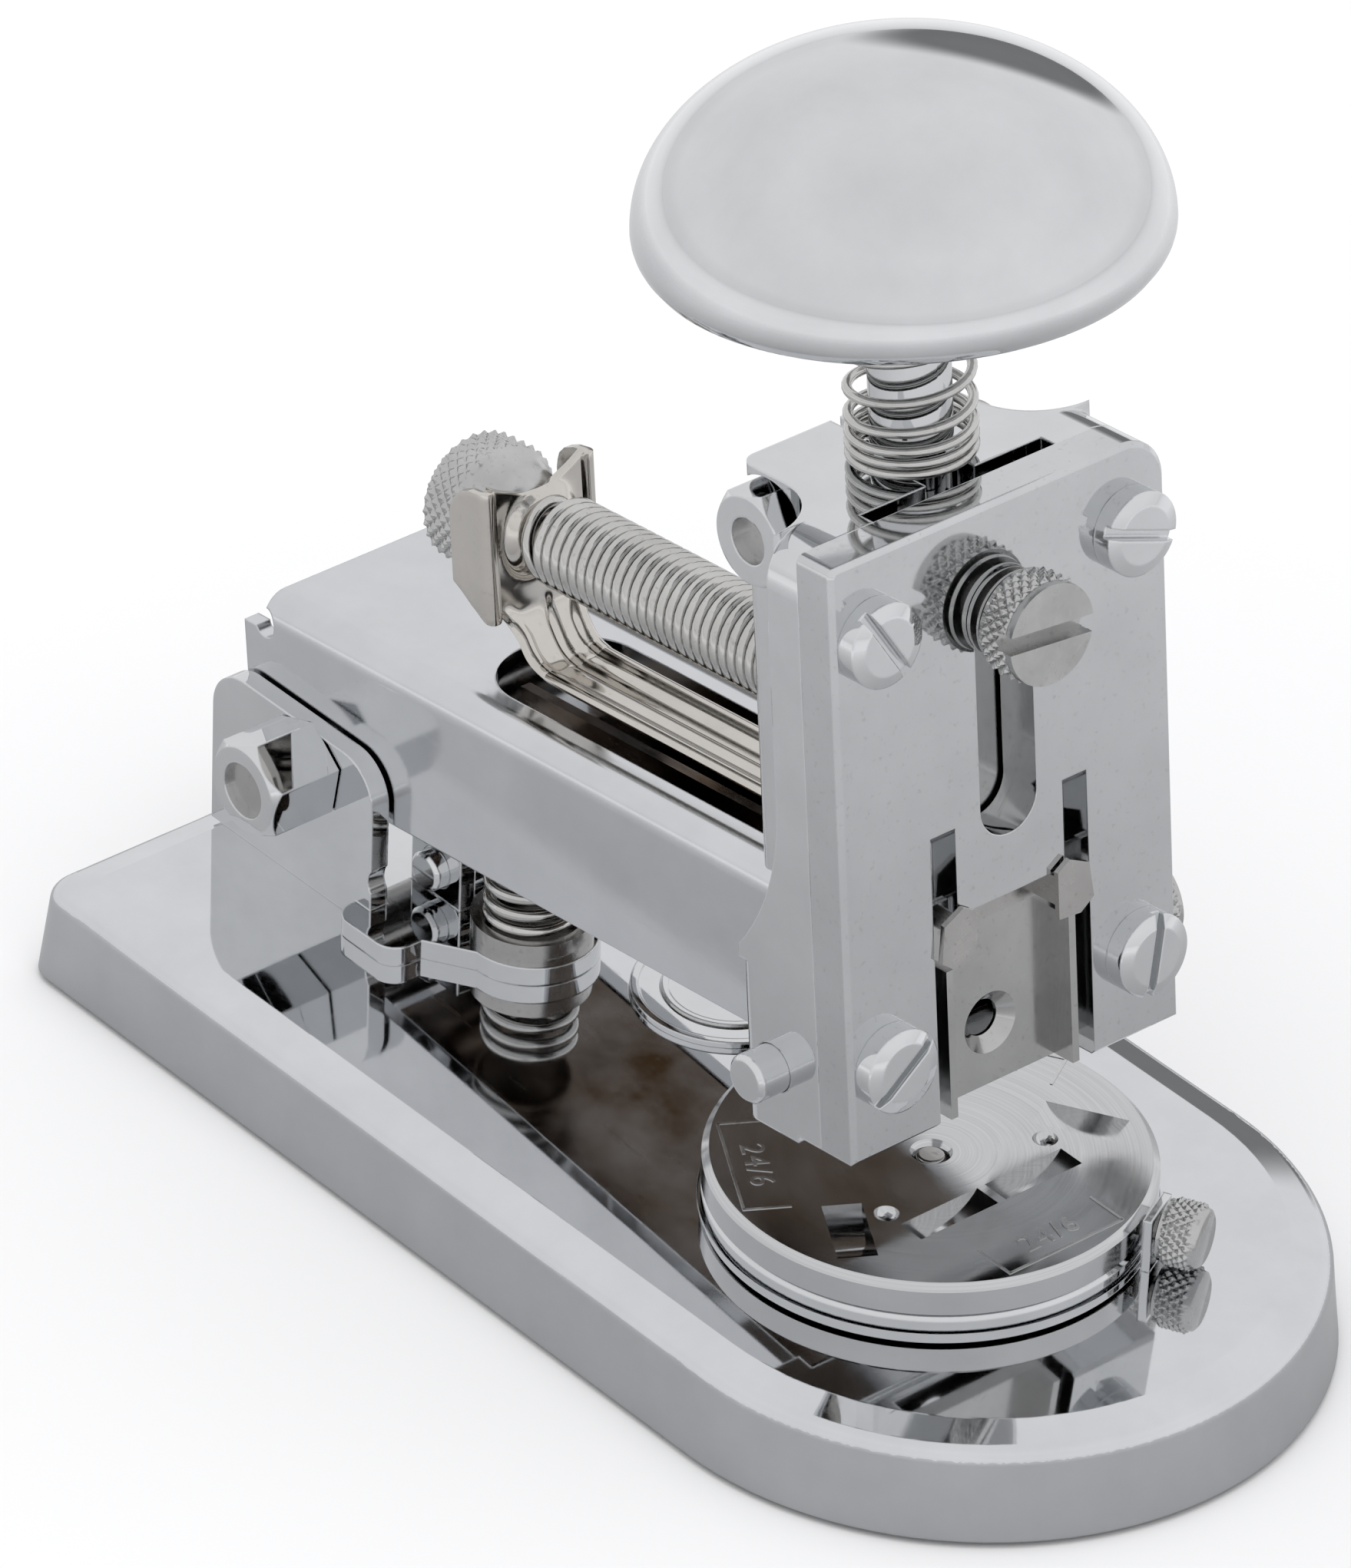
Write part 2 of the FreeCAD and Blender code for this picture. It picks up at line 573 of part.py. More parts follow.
def make_plate_screws():
    """Four slotted screws with low domed cylinder heads, each slot left at its own angle."""
    screws = []
    for (y, b), angle in zip(screw_spots(), (-58.0, -20.0, 35.0, 78.0)):
        stem = rod(1.5, vec(PLATE_BACK - 2.6, y, b), vec(FACE, y, b))
        head = rod(SCREW_HEAD_R, vec(FACE, y, b), vec(FACE + SCREW_HEAD, y, b))
        dome = Part.makeSphere(9.0, vec(FACE + SCREW_HEAD + 0.35 - 9.0, y, b))
        head = head.common(dome)
        slot = box(FACE + SCREW_HEAD - 1.0, FACE + 5, y - 5, y + 5, b - 0.45, b + 0.45)
        slot.rotate(vec(FACE, y, b), vec(1, 0, 0), angle)
        screws.append(stem.fuse(head).cut(slot).removeSplitter())
    return Part.makeCompound(screws)


def make_staple_guide():
    """The small channel in front of the driver, with a countersunk hole."""
    half = BLADE_HALF + 0.4
    web = box(PLATE_BACK, PLATE_BACK + 1.4, -half, half, HEAD_BOTTOM, MOUTH_TOP)
    body = web
    for side in (-1, 1):
        y0, y1 = sorted((side * (half - 0.7), side * half))
        body = body.fuse(box(PLATE_BACK, FACE - 0.3, y0, y1, HEAD_BOTTOM, 8.6))
    body = body.removeSplitter()
    body = body.cut(rod(1.6, vec(PLATE_BACK - 1, -0.5, 0.6), vec(FACE, -0.5, 0.6)))
    sink = Part.makeCone(1.6, 2.7, 1.1, vec(PLATE_BACK + 0.3, -0.5, 0.6), vec(1, 0, 0))
    return body.cut(sink)


def make_staple_clip():
    """A spring clip in the plate's opening with two wings that lie over the grooves."""
    rear = PLATE_BACK + 1.4
    body = box(rear, rear + 0.5, -4.9, 4.9, 10.6, 13.2)
    for side in (-1, 1):
        points = [(4.3, 13.6), (5.6, 14.4), (7.6, 13.4), (8.0, 10.2), (6.6, 9.2), (4.3, 9.4)]
        wire = Part.makePolygon([vec(FACE + 0.2, side * y, b) for y, b in points + points[:1]])
        wing = Part.Face(wire).extrude(vec(0.5, 0, 0))
        y0, y1 = sorted((side * 4.3, side * 4.9))
        link = box(rear, FACE + 0.7, y0, y1, 10.6, 13.2)
        body = body.fuse(wing).fuse(link)
    return body.removeSplitter()


def make_clamp_bolt():
    bolt = rod_y(2.0, CLAMP_A, CLAMP_B, -CLAMP_SEAT - 4.0, STEM_HALF)
    head = rod_y(3.4, CLAMP_A, CLAMP_B, STEM_HALF, STEM_HALF + 2.6)
    return bolt.fuse(head).removeSplitter()


def make_clamp_nut():
    nut = hexagon_y(7.6, CLAMP_A, CLAMP_B, -CLAMP_SEAT - 5.0, -CLAMP_SEAT, 12.0)
    tip = vec(CLAMP_A, -CLAMP_SEAT - 5.05, CLAMP_B)
    nut = nut.common(Part.makeCone(3.75, 9.0, 5.1, tip, vec(0, 1, 0)))
    return nut.cut(rod_y(2.0, CLAMP_A, CLAMP_B, -30, 0))


def make_lock_pin():
    pin = rod_y(LOCK_R, LOCK_A, LOCK_B, -HEAD_HALF - 3.0, HEAD_HALF + 0.3)
    end = [e for e in pin.Edges if e.BoundBox.YMax < -HEAD_HALF - 2.9]
    return pin.makeChamfer(0.35, end)


def make_lock_pin_knob():
    knob = rod_y(4.4, LOCK_A, LOCK_B, HEAD_HALF + 0.3, HEAD_HALF + 5.6)
    return knob.makeChamfer(0.5, [e for e in knob.Edges if isinstance(e.Curve, Part.Circle)])


# ---- plunger, in the arm's frame ----

def make_push_knob():
    """A domed knob: elliptical crown, rounded lip, and a shallow cone below."""
    crown = []
    for i in range(13):
        angle = math.pi / 2.0 * i / 12.0
        crown.append(vec(KNOB_R * math.cos(angle), 0, KNOB_RIM + KNOB_RISE * math.sin(angle)))
    curve = Part.BSplineCurve()
    curve.interpolate(crown, InitialTangent=vec(0, 0, 1), FinalTangent=vec(-1, 0, 0))
    lip_mid = vec(KNOB_R - 0.75, 0, KNOB_RIM - KNOB_LIP * 0.72)
    lip_end = vec(KNOB_R - 2.6, 0, KNOB_RIM - KNOB_LIP)
    lip = Part.Arc(vec(KNOB_R, 0, KNOB_RIM), lip_mid, lip_end)
    under = vec(COLLAR_R, 0, KNOB_SEAT)
    seat = vec(0, 0, KNOB_SEAT)
    edges = [curve.toShape(), lip.toShape(), Part.makeLine(lip_end, under),
             Part.makeLine(under, seat), Part.makeLine(seat, crown[-1])]
    profile = Part.Face(Part.Wire(Part.__sortEdges__(edges)))
    knob = profile.revolve(vec(0, 0, 0), vec(0, 0, 1), 360)
    knob.translate(vec(PLUNGER_A, 0, 0))
    return knob


def make_knob_collar():
    collar = rod(COLLAR_R, vec(PLUNGER_A, 0, KNOB_SEAT - 1.2), vec(PLUNGER_A, 0, KNOB_SEAT))
    collar = collar.makeChamfer(0.3, [e for e in collar.Edges if e.BoundBox.ZMax < KNOB_SEAT - 1.1
                                      and e.BoundBox.XLength > 1])
    return collar.cut(rod(SHAFT_R, vec(PLUNGER_A, 0, 0), vec(PLUNGER_A, 0, 90)))


def make_plunger_shaft():
    return rod(SHAFT_R, vec(PLUNGER_A, 0, SHAFT_LOW), vec(PLUNGER_A, 0, KNOB_SEAT))


def make_driver_carrier():
    """The plate behind the front plate, with the bridge that ties it to the shaft."""
    a0 = CHANNEL_BACK + 0.15
    a1 = PLATE_BACK - 0.15
    plate = box(a0, a1, -CARRIER_HALF, CARRIER_HALF, CARRIER_LOW, CARRIER_HIGH)
    bridge = box(PLUNGER_A + 1.0, CHANNEL_BACK + 0.5, -2.2, 2.2, SHAFT_LOW, CARRIER_HIGH)
    body = plate.fuse(bridge).removeSplitter()
    body = body.cut(rod(SHAFT_R, vec(PLUNGER_A, 0, 0), vec(PLUNGER_A, 0, 90)))
    return body.cut(rod(1.6, vec(CHANNEL_BACK - 3, 0, THUMB_B), vec(PLATE_BACK + 1, 0, THUMB_B)))


def make_driver_blade():
    """The thin blade under the carrier that pushes a staple out."""
    return box(CHANNEL_BACK + 0.35, PLATE_BACK - 0.35, -BLADE_HALF, BLADE_HALF, 9.0, CARRIER_LOW)


def make_thumbscrew():
    thread = rod(1.6, vec(CHANNEL_BACK - 0.2, 0, THUMB_B), vec(PLATE_BACK, 0, THUMB_B))
    neck = rod(2.5, vec(PLATE_BACK - 0.15, 0, THUMB_B), vec(FACE + 0.7, 0, THUMB_B))
    head = rod(THUMB_R, vec(FACE + 0.7, 0, THUMB_B), vec(FACE + 5.9, 0, THUMB_B))
    head = head.makeChamfer(0.4, [e for e in head.Edges if isinstance(e.Curve, Part.Circle)])
    slot = box(FACE + 4.5, FACE + 8, -6, 6, THUMB_B - 0.75, THUMB_B + 0.75)
    slot.rotate(vec(0, 0, THUMB_B), vec(1, 0, 0), -6.0)
    return thread.fuse(neck).fuse(head).cut(slot).removeSplitter()


def make_plunger_spring():
    low = HEAD_TOP + PLUNGER_WIRE / 2.0 + 0.05
    high = KNOB_SEAT - 1.2 - PLUNGER_WIRE / 2.0 - 0.05
    spring = coil(PLUNGER_COIL_R, PLUNGER_WIRE, high - low, PLUNGER_TURNS)
    spring.translate(vec(PLUNGER_A, 0, low))
    return spring


# ---- staple pusher, in the arm's frame ----

def make_pusher_plate():
    """Stamped sheet: plate with a dished hole, two wings bent back, and a ribbed strip."""
    front = PLATE_A + SHEET
    body = box(PLATE_A, front, -WING_Y, WING_Y, 16.1, 29.4)
    # the top edge dips between the wings
    body = body.cut(rod(6.2, vec(PLATE_A - 1, 0, 33.9), vec(front + 1, 0, 33.9)))
    wing = [(front, 29.4), (front, 17.2), (WING_A, 20.2), (WING_A, 26.0),
            (WING_A + 0.4, 27.4), (WING_A + 1.4, 28.6), (PLATE_A, 29.4)]
    corner = [(PLATE_A - 1, 16.0), (front + 1, 16.0), (front + 1, 17.2), (PLATE_A - 1, 17.8)]
    for side in (-1, 1):
        y0, y1 = sorted((side * (WING_Y - SHEET), side * WING_Y))
        body = body.fuse(prism_y(wing, y0, y1))
        y0, y1 = sorted((side * STRIP_HALF, side * (WING_Y + 1)))
        body = body.cut(prism_y(corner, y0, y1))
    outline = [(PLATE_A, 16.9), (front, 16.9), (18.7, 15.2), (20.2, 13.6),
               (22.0, 13.1), (63.0, 13.1), (63.0, 12.3), (21.6, 12.3), (19.7, 12.8),
               (18.0, 14.6), (PLATE_A, 16.0)]
    body = body.fuse(prism_y(outline, -STRIP_HALF, STRIP_HALF))
    for side in (-1, 1):
        y0, y1 = sorted((side * (STRIP_HALF - 0.8), side * STRIP_HALF))
        rib = prism_y([(22.0, 13.0), (63.0, 13.0), (63.0, 13.9), (23.0, 13.9)], y0, y1)
        body = body.fuse(rib)
    body = body.removeSplitter()
    dish = Part.makeCone(ROD_R, 4.2, 0.5, vec(front - 0.5, 0, ROD_B), vec(1, 0, 0))
    body = body.cut(dish)
    return body.cut(rod(ROD_R, vec(0, 0, ROD_B), vec(40, 0, ROD_B)))


def make_pusher_foot():
    """The block below the strip that pushes the staples along the rail."""
    neck = box(56.5, 61.0, -2.4, 2.4, 9.6, 12.3)
    saddle = box(60.0, 69.4, -6.0, 6.0, 4.6, 9.8)
    saddle = saddle.fuse(box(56.5, 61.0, -4.2, 4.2, 4.6, 9.8))
    return neck.fuse(saddle).removeSplitter()


def make_pusher_rod():
    return rod(ROD_R, vec(KNOB_A0 + 2.0, 0, ROD_B), vec(ROD_FRONT, 0, ROD_B))


def make_rod_knob():
    knob = rod(ROD_KNOB_R, vec(KNOB_A0, 0, ROD_B), vec(KNOB_A1, 0, ROD_B))
    rear = [e for e in knob.Edges if isinstance(e.Curve, Part.Circle) and e.BoundBox.XMax < KNOB_A0 + 0.1]
    knob = knob.makeFillet(1.2, rear)
    shoulder = Part.makeCone(4.95, 3.8, PLATE_A - KNOB_A1, vec(KNOB_A1, 0, ROD_B), vec(1, 0, 0))
    knob = knob.fuse(shoulder).removeSplitter()
    return knob.cut(rod(ROD_R, vec(KNOB_A0 + 2.0, 0, ROD_B), vec(40, 0, ROD_B)))


def make_pusher_spring():
    length = COIL_END - COIL_START - COIL_WIRE
    spring = coil(COIL_R, COIL_WIRE, length, length / COIL_PITCH)
    spring.rotate(vec(0, 0, 0), vec(0, 1, 0), 90)
    spring.translate(vec(COIL_START + COIL_WIRE / 2.0, 0, ROD_B))
    return spring


BASE_PIECES = {
    "base_plate": make_base_plate,
    "base_pad": make_base_pad,
    "medallion": make_medallion,
    "anvil_ring": make_anvil_ring,
    "anvil_pivot": make_anvil_pivot,
    "anvil_disc": make_anvil_disc,
    "disc_lock_post": make_disc_lock_post,
    "disc_lock_pin": make_disc_lock_pin,
    "disc_lock_knob": make_disc_lock_knob,
    "hinge_bracket": make_hinge_bracket,
    "bracket_screws": make_bracket_screws,
    "hinge_bolt": make_hinge_bolt,
    "hinge_nut": make_hinge_nut,
    "cross_pin": make_cross_pin,
    "spring_cup": make_spring_cup,
    "lift_spring": make_lift_spring,
}

ARM_PIECES = {
    "arm_shell": make_arm_shell,
    "magazine_rail": make_magazine_rail,
    "hinge_sleeve": make_hinge_sleeve,
    "head_block": make_head_block,
    "front_plate": make_front_plate,
    "plate_screws": make_plate_screws,
    "staple_guide": make_staple_guide,
    "staple_clip": make_staple_clip,
    "clamp_bolt": make_clamp_bolt,
    "clamp_nut": make_clamp_nut,
    "lock_pin": make_lock_pin,
    "lock_pin_knob": make_lock_pin_knob,
    "push_knob": make_push_knob,
    "knob_collar": make_knob_collar,
    "plunger_shaft": make_plunger_shaft,
    "driver_carrier": make_driver_carrier,
    "driver_blade": make_driver_blade,
    "thumbscrew": make_thumbscrew,
    "plunger_spring": make_plunger_spring,
    "pusher_plate": make_pusher_plate,
    "pusher_foot": make_pusher_foot,
    "pusher_rod": make_pusher_rod,
    "rod_knob": make_rod_knob,
    "pusher_spring": make_pusher_spring,
}


def main():
    os.makedirs("parts", exist_ok=True)
    for name, make in BASE_PIECES.items():
        make().exportStep("parts/" + name + ".step")
    for name, make in ARM_PIECES.items():
        place(make()).exportStep("parts/" + name + ".step")


main()
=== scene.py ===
import json
import math

import bmesh
import bpy
import numpy as np
from mathutils import Matrix, Vector


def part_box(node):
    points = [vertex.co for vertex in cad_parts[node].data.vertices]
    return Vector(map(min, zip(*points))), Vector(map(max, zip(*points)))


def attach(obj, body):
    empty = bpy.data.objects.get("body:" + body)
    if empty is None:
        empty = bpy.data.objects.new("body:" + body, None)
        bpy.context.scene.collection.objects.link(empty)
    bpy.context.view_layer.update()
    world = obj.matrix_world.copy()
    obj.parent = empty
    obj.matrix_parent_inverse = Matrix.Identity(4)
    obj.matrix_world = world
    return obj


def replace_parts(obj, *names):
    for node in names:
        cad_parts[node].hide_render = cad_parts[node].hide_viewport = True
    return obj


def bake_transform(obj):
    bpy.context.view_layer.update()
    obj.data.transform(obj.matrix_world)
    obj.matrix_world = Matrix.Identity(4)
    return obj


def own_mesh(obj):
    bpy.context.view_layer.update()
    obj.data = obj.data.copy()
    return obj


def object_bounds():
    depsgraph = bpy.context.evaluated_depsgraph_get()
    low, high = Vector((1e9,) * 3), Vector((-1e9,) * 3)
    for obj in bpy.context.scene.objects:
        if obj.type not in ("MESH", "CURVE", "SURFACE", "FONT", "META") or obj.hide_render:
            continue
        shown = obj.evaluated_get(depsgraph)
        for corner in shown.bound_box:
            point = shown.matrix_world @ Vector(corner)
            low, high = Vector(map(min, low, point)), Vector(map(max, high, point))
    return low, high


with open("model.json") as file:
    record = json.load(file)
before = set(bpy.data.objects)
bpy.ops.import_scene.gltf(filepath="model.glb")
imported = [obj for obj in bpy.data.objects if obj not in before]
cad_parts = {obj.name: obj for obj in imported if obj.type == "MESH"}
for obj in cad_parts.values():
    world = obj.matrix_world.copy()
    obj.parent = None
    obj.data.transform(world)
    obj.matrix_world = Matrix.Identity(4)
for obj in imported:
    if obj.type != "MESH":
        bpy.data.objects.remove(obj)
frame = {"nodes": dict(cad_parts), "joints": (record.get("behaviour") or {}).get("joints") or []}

CAD_LO, CAD_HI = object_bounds()
MM = 0.001

# Places in the arm's own millimetres: A runs along the arm from the hinge, B is square to it.
PLUNGER_A = 65.5
PLUNGER_FOOT_B = 48.4
DOME_B = 69.0
ROD_B = 24.2
ROD_KNOB_A = 8.4
FRONT_FACE_A = 75.7
THUMB_B = 38.7
LOCK_PIN_END = (66.1, 17.6, 0.3)
SHEET_THICKNESS = 0.75
MARK_RADIUS = 14.4

# ------------------------------------------------------------ the arm's own axes

joints = {j["name"]: j for j in frame["joints"]}
HINGE = Vector(joints["arm_tilt"]["pos_m"])
ALONG = -Vector(joints["pusher_pull"]["axis"]).normalized()
SQUARE = -Vector(joints["plunger_press"]["axis"]).normalized()
ACROSS = Vector((0, 1, 0))


def arm(a, y, b):
    """A point given in millimetres along, across and square to the arm."""
    return HINGE + (ALONG * a + ACROSS * y + SQUARE * b) * MM


# ------------------------------------------------------------ shader helpers

class Nodes:
    """A short way of writing a node tree."""

    def __init__(self, name):
        self.material = bpy.data.materials.new(name)
        self.material.use_nodes = True
        self.tree = self.material.node_tree
        self.shader = self.tree.nodes["Principled BSDF"]
        self.coords = self.tree.nodes.new("ShaderNodeTexCoord").outputs["Object"]

    def link(self, a, b):
        self.tree.links.new(a, b)

    def put(self, node, key, value):
        if value is None:
            return
        if isinstance(value, bpy.types.NodeSocket):
            self.link(value, node.inputs[key])
        else:
            node.inputs[key].default_value = value

    def mapping(self, scale=(1, 1, 1), move=(0, 0, 0), turn=(0, 0, 0), source=None):
        node = self.tree.nodes.new("ShaderNodeMapping")
        self.link(source or self.coords, node.inputs["Vector"])
        node.inputs["Scale"].default_value = scale
        node.inputs["Location"].default_value = move
        node.inputs["Rotation"].default_value = turn
        return node.outputs["Vector"]

    def noise(self, scale, detail=3.0, rough=0.5, source=None, distortion=0.0):
        node = self.tree.nodes.new("ShaderNodeTexNoise")
        self.link(source or self.coords, node.inputs["Vector"])
        node.inputs["Scale"].default_value = scale
        node.inputs["Detail"].default_value = detail
        node.inputs["Roughness"].default_value = rough
        node.inputs["Distortion"].default_value = distortion
        return node.outputs["Fac"]

    def math(self, kind, a, b=0.5, c=None):
        node = self.tree.nodes.new("ShaderNodeMath")
        node.operation = kind
        self.put(node, 0, a)
        self.put(node, 1, b)
        if c is not None:
            self.put(node, 2, c)
        return node.outputs[0]

    def span(self, value, low, high, to_low, to_high):
        node = self.tree.nodes.new("ShaderNodeMapRange")
        self.put(node, "Value", value)
        for key, number in zip(("From Min", "From Max", "To Min", "To Max"), (low, high, to_low, to_high)):
            node.inputs[key].default_value = number
        return node.outputs["Result"]

    def ramp(self, value, stops):
        node = self.tree.nodes.new("ShaderNodeValToRGB")
        self.put(node, "Fac", value)
        elements = node.color_ramp.elements
        while len(elements) < len(stops):
            elements.new(0.5)
        for element, (place, colour) in zip(elements, stops):
            element.position = place
            element.color = (*colour, 1)
        return node.outputs["Color"]

    def bump(self, height, distance, strength=1.0, normal=None):
        node = self.tree.nodes.new("ShaderNodeBump")
        node.inputs["Strength"].default_value = strength
        node.inputs["Distance"].default_value = distance
        self.link(height, node.inputs["Height"])
        if normal is not None:
            self.link(normal, node.inputs["Normal"])
        return node.outputs["Normal"]


def metal(name, colour, rough, spread, wave=2.2e-5, grain=0.0, grain_stretch=(1, 1, 1), tint=0.03, dirt=0.0,
          edge=0.0):
    """A plated or ground metal: uneven gloss, fine scratches and a slightly wavy surface."""
    n = Nodes(name)
    n.shader.inputs["Metallic"].default_value = 1.0
    cloud = n.noise(140.0, 4.0, 0.6)
    speck = n.noise(1900.0, 2.0, 0.5)
    low = tuple(max(c - tint, 0.0) for c in colour)
    high = tuple(min(c + tint * 0.6, 1.0) for c in colour)
    base = n.ramp(cloud, [(0.3, low), (0.7, high)])
    if dirt > 0:
        mix = n.tree.nodes.new("ShaderNodeMix")
        mix.data_type = "RGBA"
        n.link(n.span(speck, 0.62, 0.8, 0.0, dirt), mix.inputs["Factor"])
        n.link(base, mix.inputs["A"])
        mix.inputs["B"].default_value = (0.20, 0.17, 0.14, 1)
        base = mix.outputs["Result"]
    n.link(base, n.shader.inputs["Base Color"])
    scratches = n.noise(1.0, 2.0, 0.6, n.mapping(tuple(s * 900.0 for s in grain_stretch)))
    gloss = n.math("ADD", n.span(cloud, 0.3, 0.75, rough, rough + spread),
                   n.span(scratches, 0.55, 0.8, 0.0, spread))
    n.link(gloss, n.shader.inputs["Roughness"])
    rounded = None
    if edge > 0:
        soft = n.tree.nodes.new("ShaderNodeBevel")
        soft.samples = 6
        soft.inputs["Radius"].default_value = edge * MM
        rounded = soft.outputs["Normal"]
    normal = n.bump(n.noise(42.0, 2.0, 0.4), wave, 1.0, rounded)
    if grain > 0:
        normal = n.bump(scratches, grain, 1.0, normal)
    n.link(normal, n.shader.inputs["Normal"])
    return n.material


def turned_metal(name, colour, centre, rough, depth, direction=(0, 0, 1)):
    """Metal faced on a lathe: fine rings about an axis, with a gloss that runs round with them."""
    n = Nodes(name)
    n.shader.inputs["Metallic"].default_value = 1.0
    n.shader.inputs["Anisotropic"].default_value = 0.75
    axis = Vector(direction).normalized()
    offset = n.tree.nodes.new("ShaderNodeVectorMath")
    offset.operation = "SUBTRACT"
    n.link(n.coords, offset.inputs[0])
    offset.inputs[1].default_value = centre
    dot = n.tree.nodes.new("ShaderNodeVectorMath")
    dot.operation = "CROSS_PRODUCT"
    n.link(offset.outputs[0], dot.inputs[0])
    dot.inputs[1].default_value = axis
    length = n.tree.nodes.new("ShaderNodeVectorMath")
    length.operation = "LENGTH"
    n.link(dot.outputs[0], length.inputs[0])
    radius = length.outputs["Value"]
    rings_at = n.tree.nodes.new("ShaderNodeCombineXYZ")
    n.link(n.math("MULTIPLY", radius, 5200.0), rings_at.inputs[0])
    n.link(n.math("MULTIPLY", n.noise(60.0, 1.0), 2.0), rings_at.inputs[1])
    rings = n.noise(1.0, 3.0, 0.65, rings_at.outputs[0])
    groove = tuple(c * 0.82 for c in colour)
    n.link(n.ramp(rings, [(0.3, groove), (0.7, colour)]), n.shader.inputs["Base Color"])
    n.link(n.span(n.noise(220.0, 3.0), 0.3, 0.7, rough, rough + 0.08), n.shader.inputs["Roughness"])
    tangent = n.tree.nodes.new("ShaderNodeVectorMath")
    tangent.operation = "NORMALIZE"
    n.link(dot.outputs[0], tangent.inputs[0])
    n.link(tangent.outputs[0], n.shader.inputs["Tangent"])
    n.link(n.bump(rings, depth), n.shader.inputs["Normal"])
    return n.material


def rubber(name, colour):
    n = Nodes(name)
    grain = n.noise(2600.0, 3.0, 0.6)
    n.link(n.ramp(n.noise(260.0, 3.0), [(0.3, colour), (0.75, tuple(c * 1.7 for c in colour))]),
           n.shader.inputs["Base Color"])
    n.link(n.span(grain, 0.3, 0.7, 0.65, 0.9), n.shader.inputs["Roughness"])
    n.link(n.bump(grain, 4e-5), n.shader.inputs["Normal"])
    return n.material


CHROME = metal("chrome", (0.66, 0.67, 0.68), 0.018, 0.03, wave=1.4e-5, edge=0.28)
CHROME_BASE = metal("chrome_base", (0.66, 0.67, 0.685), 0.02, 0.035, wave=2.4e-5, edge=0.2)
CHROME_FLAT = metal("chrome_flat", (0.60, 0.61, 0.62), 0.03, 0.05, wave=8e-6, dirt=0.25, edge=0.18)
SATIN = metal("satin_chrome", (0.64, 0.65, 0.665), 0.08, 0.07, wave=1.2e-5, grain=1.2e-6,
              grain_stretch=(0.06, 1, 1), edge=0.25)
STEEL = metal("steel", (0.46, 0.45, 0.44), 0.14, 0.14, wave=1e-5, grain=5e-6, grain_stretch=(0.2, 1, 1),
              tint=0.06, dirt=0.5)
# Rail steel: a very dark brown, partly the rail's own darker steel and partly painted shade, so that the
# arm's shaded inside and underside read dark.
RAIL_AND_SHADE = metal("rail_steel_and_shade", (0.20, 0.165, 0.14), 0.12, 0.16, wave=1e-5, grain=6e-6,
             grain_stretch=(0.05, 1, 1), tint=0.12, dirt=0.3)
BLADE = metal("blade", (0.48, 0.48, 0.475), 0.10, 0.12, wave=1e-5, grain=4e-6, grain_stretch=(1, 1, 0.1),
              tint=0.05, dirt=0.4)
WIRE = metal("wire", (0.55, 0.545, 0.53), 0.07, 0.10, wave=6e-6, grain=2e-6, tint=0.08, dirt=0.35)
NICKEL = metal("nickel", (0.60, 0.575, 0.54), 0.07, 0.08, wave=4e-5, tint=0.05, dirt=0.15)
KNURL = metal("knurled_steel", (0.50, 0.50, 0.495), 0.16, 0.14, wave=6e-6, tint=0.08, dirt=0.35)
PAD = rubber("pad", (0.03, 0.03, 0.032))
MARK = metal("stamped_mark", (0.62, 0.62, 0.62), 0.22, 0.2, wave=1e-5, tint=0.06)


def paint(node, material):
    o = frame["nodes"][node]
    o.data.materials.clear()
    o.data.materials.append(material)
    return o


LOOKS = {
    "base_plate": CHROME_BASE, "base_pad": PAD, "medallion": CHROME, "anvil_ring": CHROME,
    "anvil_pivot": STEEL,
    "disc_lock_post": CHROME, "disc_lock_pin": STEEL, "hinge_bracket": CHROME, "bracket_screws": STEEL,
    "hinge_bolt": STEEL, "hinge_nut": CHROME, "cross_pin": CHROME, "spring_cup": STEEL, "arm_shell": SATIN,
    "magazine_rail": RAIL_AND_SHADE, "hinge_sleeve": STEEL, "head_block": CHROME, "front_plate": CHROME_FLAT,
    "plate_screws": CHROME, "staple_guide": BLADE, "staple_clip": STEEL, "clamp_bolt": STEEL,
    "clamp_nut": CHROME,
    "lock_pin": CHROME, "push_knob": CHROME, "knob_collar": CHROME, "plunger_shaft": CHROME,
    "driver_carrier": BLADE, "driver_blade": BLADE, "thumbscrew": STEEL, "pusher_plate": NICKEL,
    "pusher_foot": RAIL_AND_SHADE, "pusher_rod": STEEL, "rod_knob": NICKEL,
    "lock_pin_knob": KNURL, "disc_lock_knob": KNURL,
    "lift_spring": WIRE, "plunger_spring": WIRE, "pusher_spring": WIRE,
}
for node, material in LOOKS.items():
    paint(node, material)

disc_lo, disc_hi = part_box("anvil_disc")
DISC = (Vector(disc_lo) + Vector(disc_hi)) / 2
DISC_TOP = Vector(disc_hi).z
paint("anvil_disc", turned_metal("faced_disc", (0.62, 0.625, 0.63), tuple(DISC), 0.07, 1.0e-6))


# ------------------------------------------------------------ piece helpers

def add(name, mesh, material, body, smooth=True):
    obj = bpy.data.objects.new(name, mesh)
    bpy.context.scene.collection.objects.link(obj)
    mesh.materials.append(material)
    for face in mesh.polygons:
        face.use_smooth = smooth
    if body:
        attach(obj, body)
    return obj


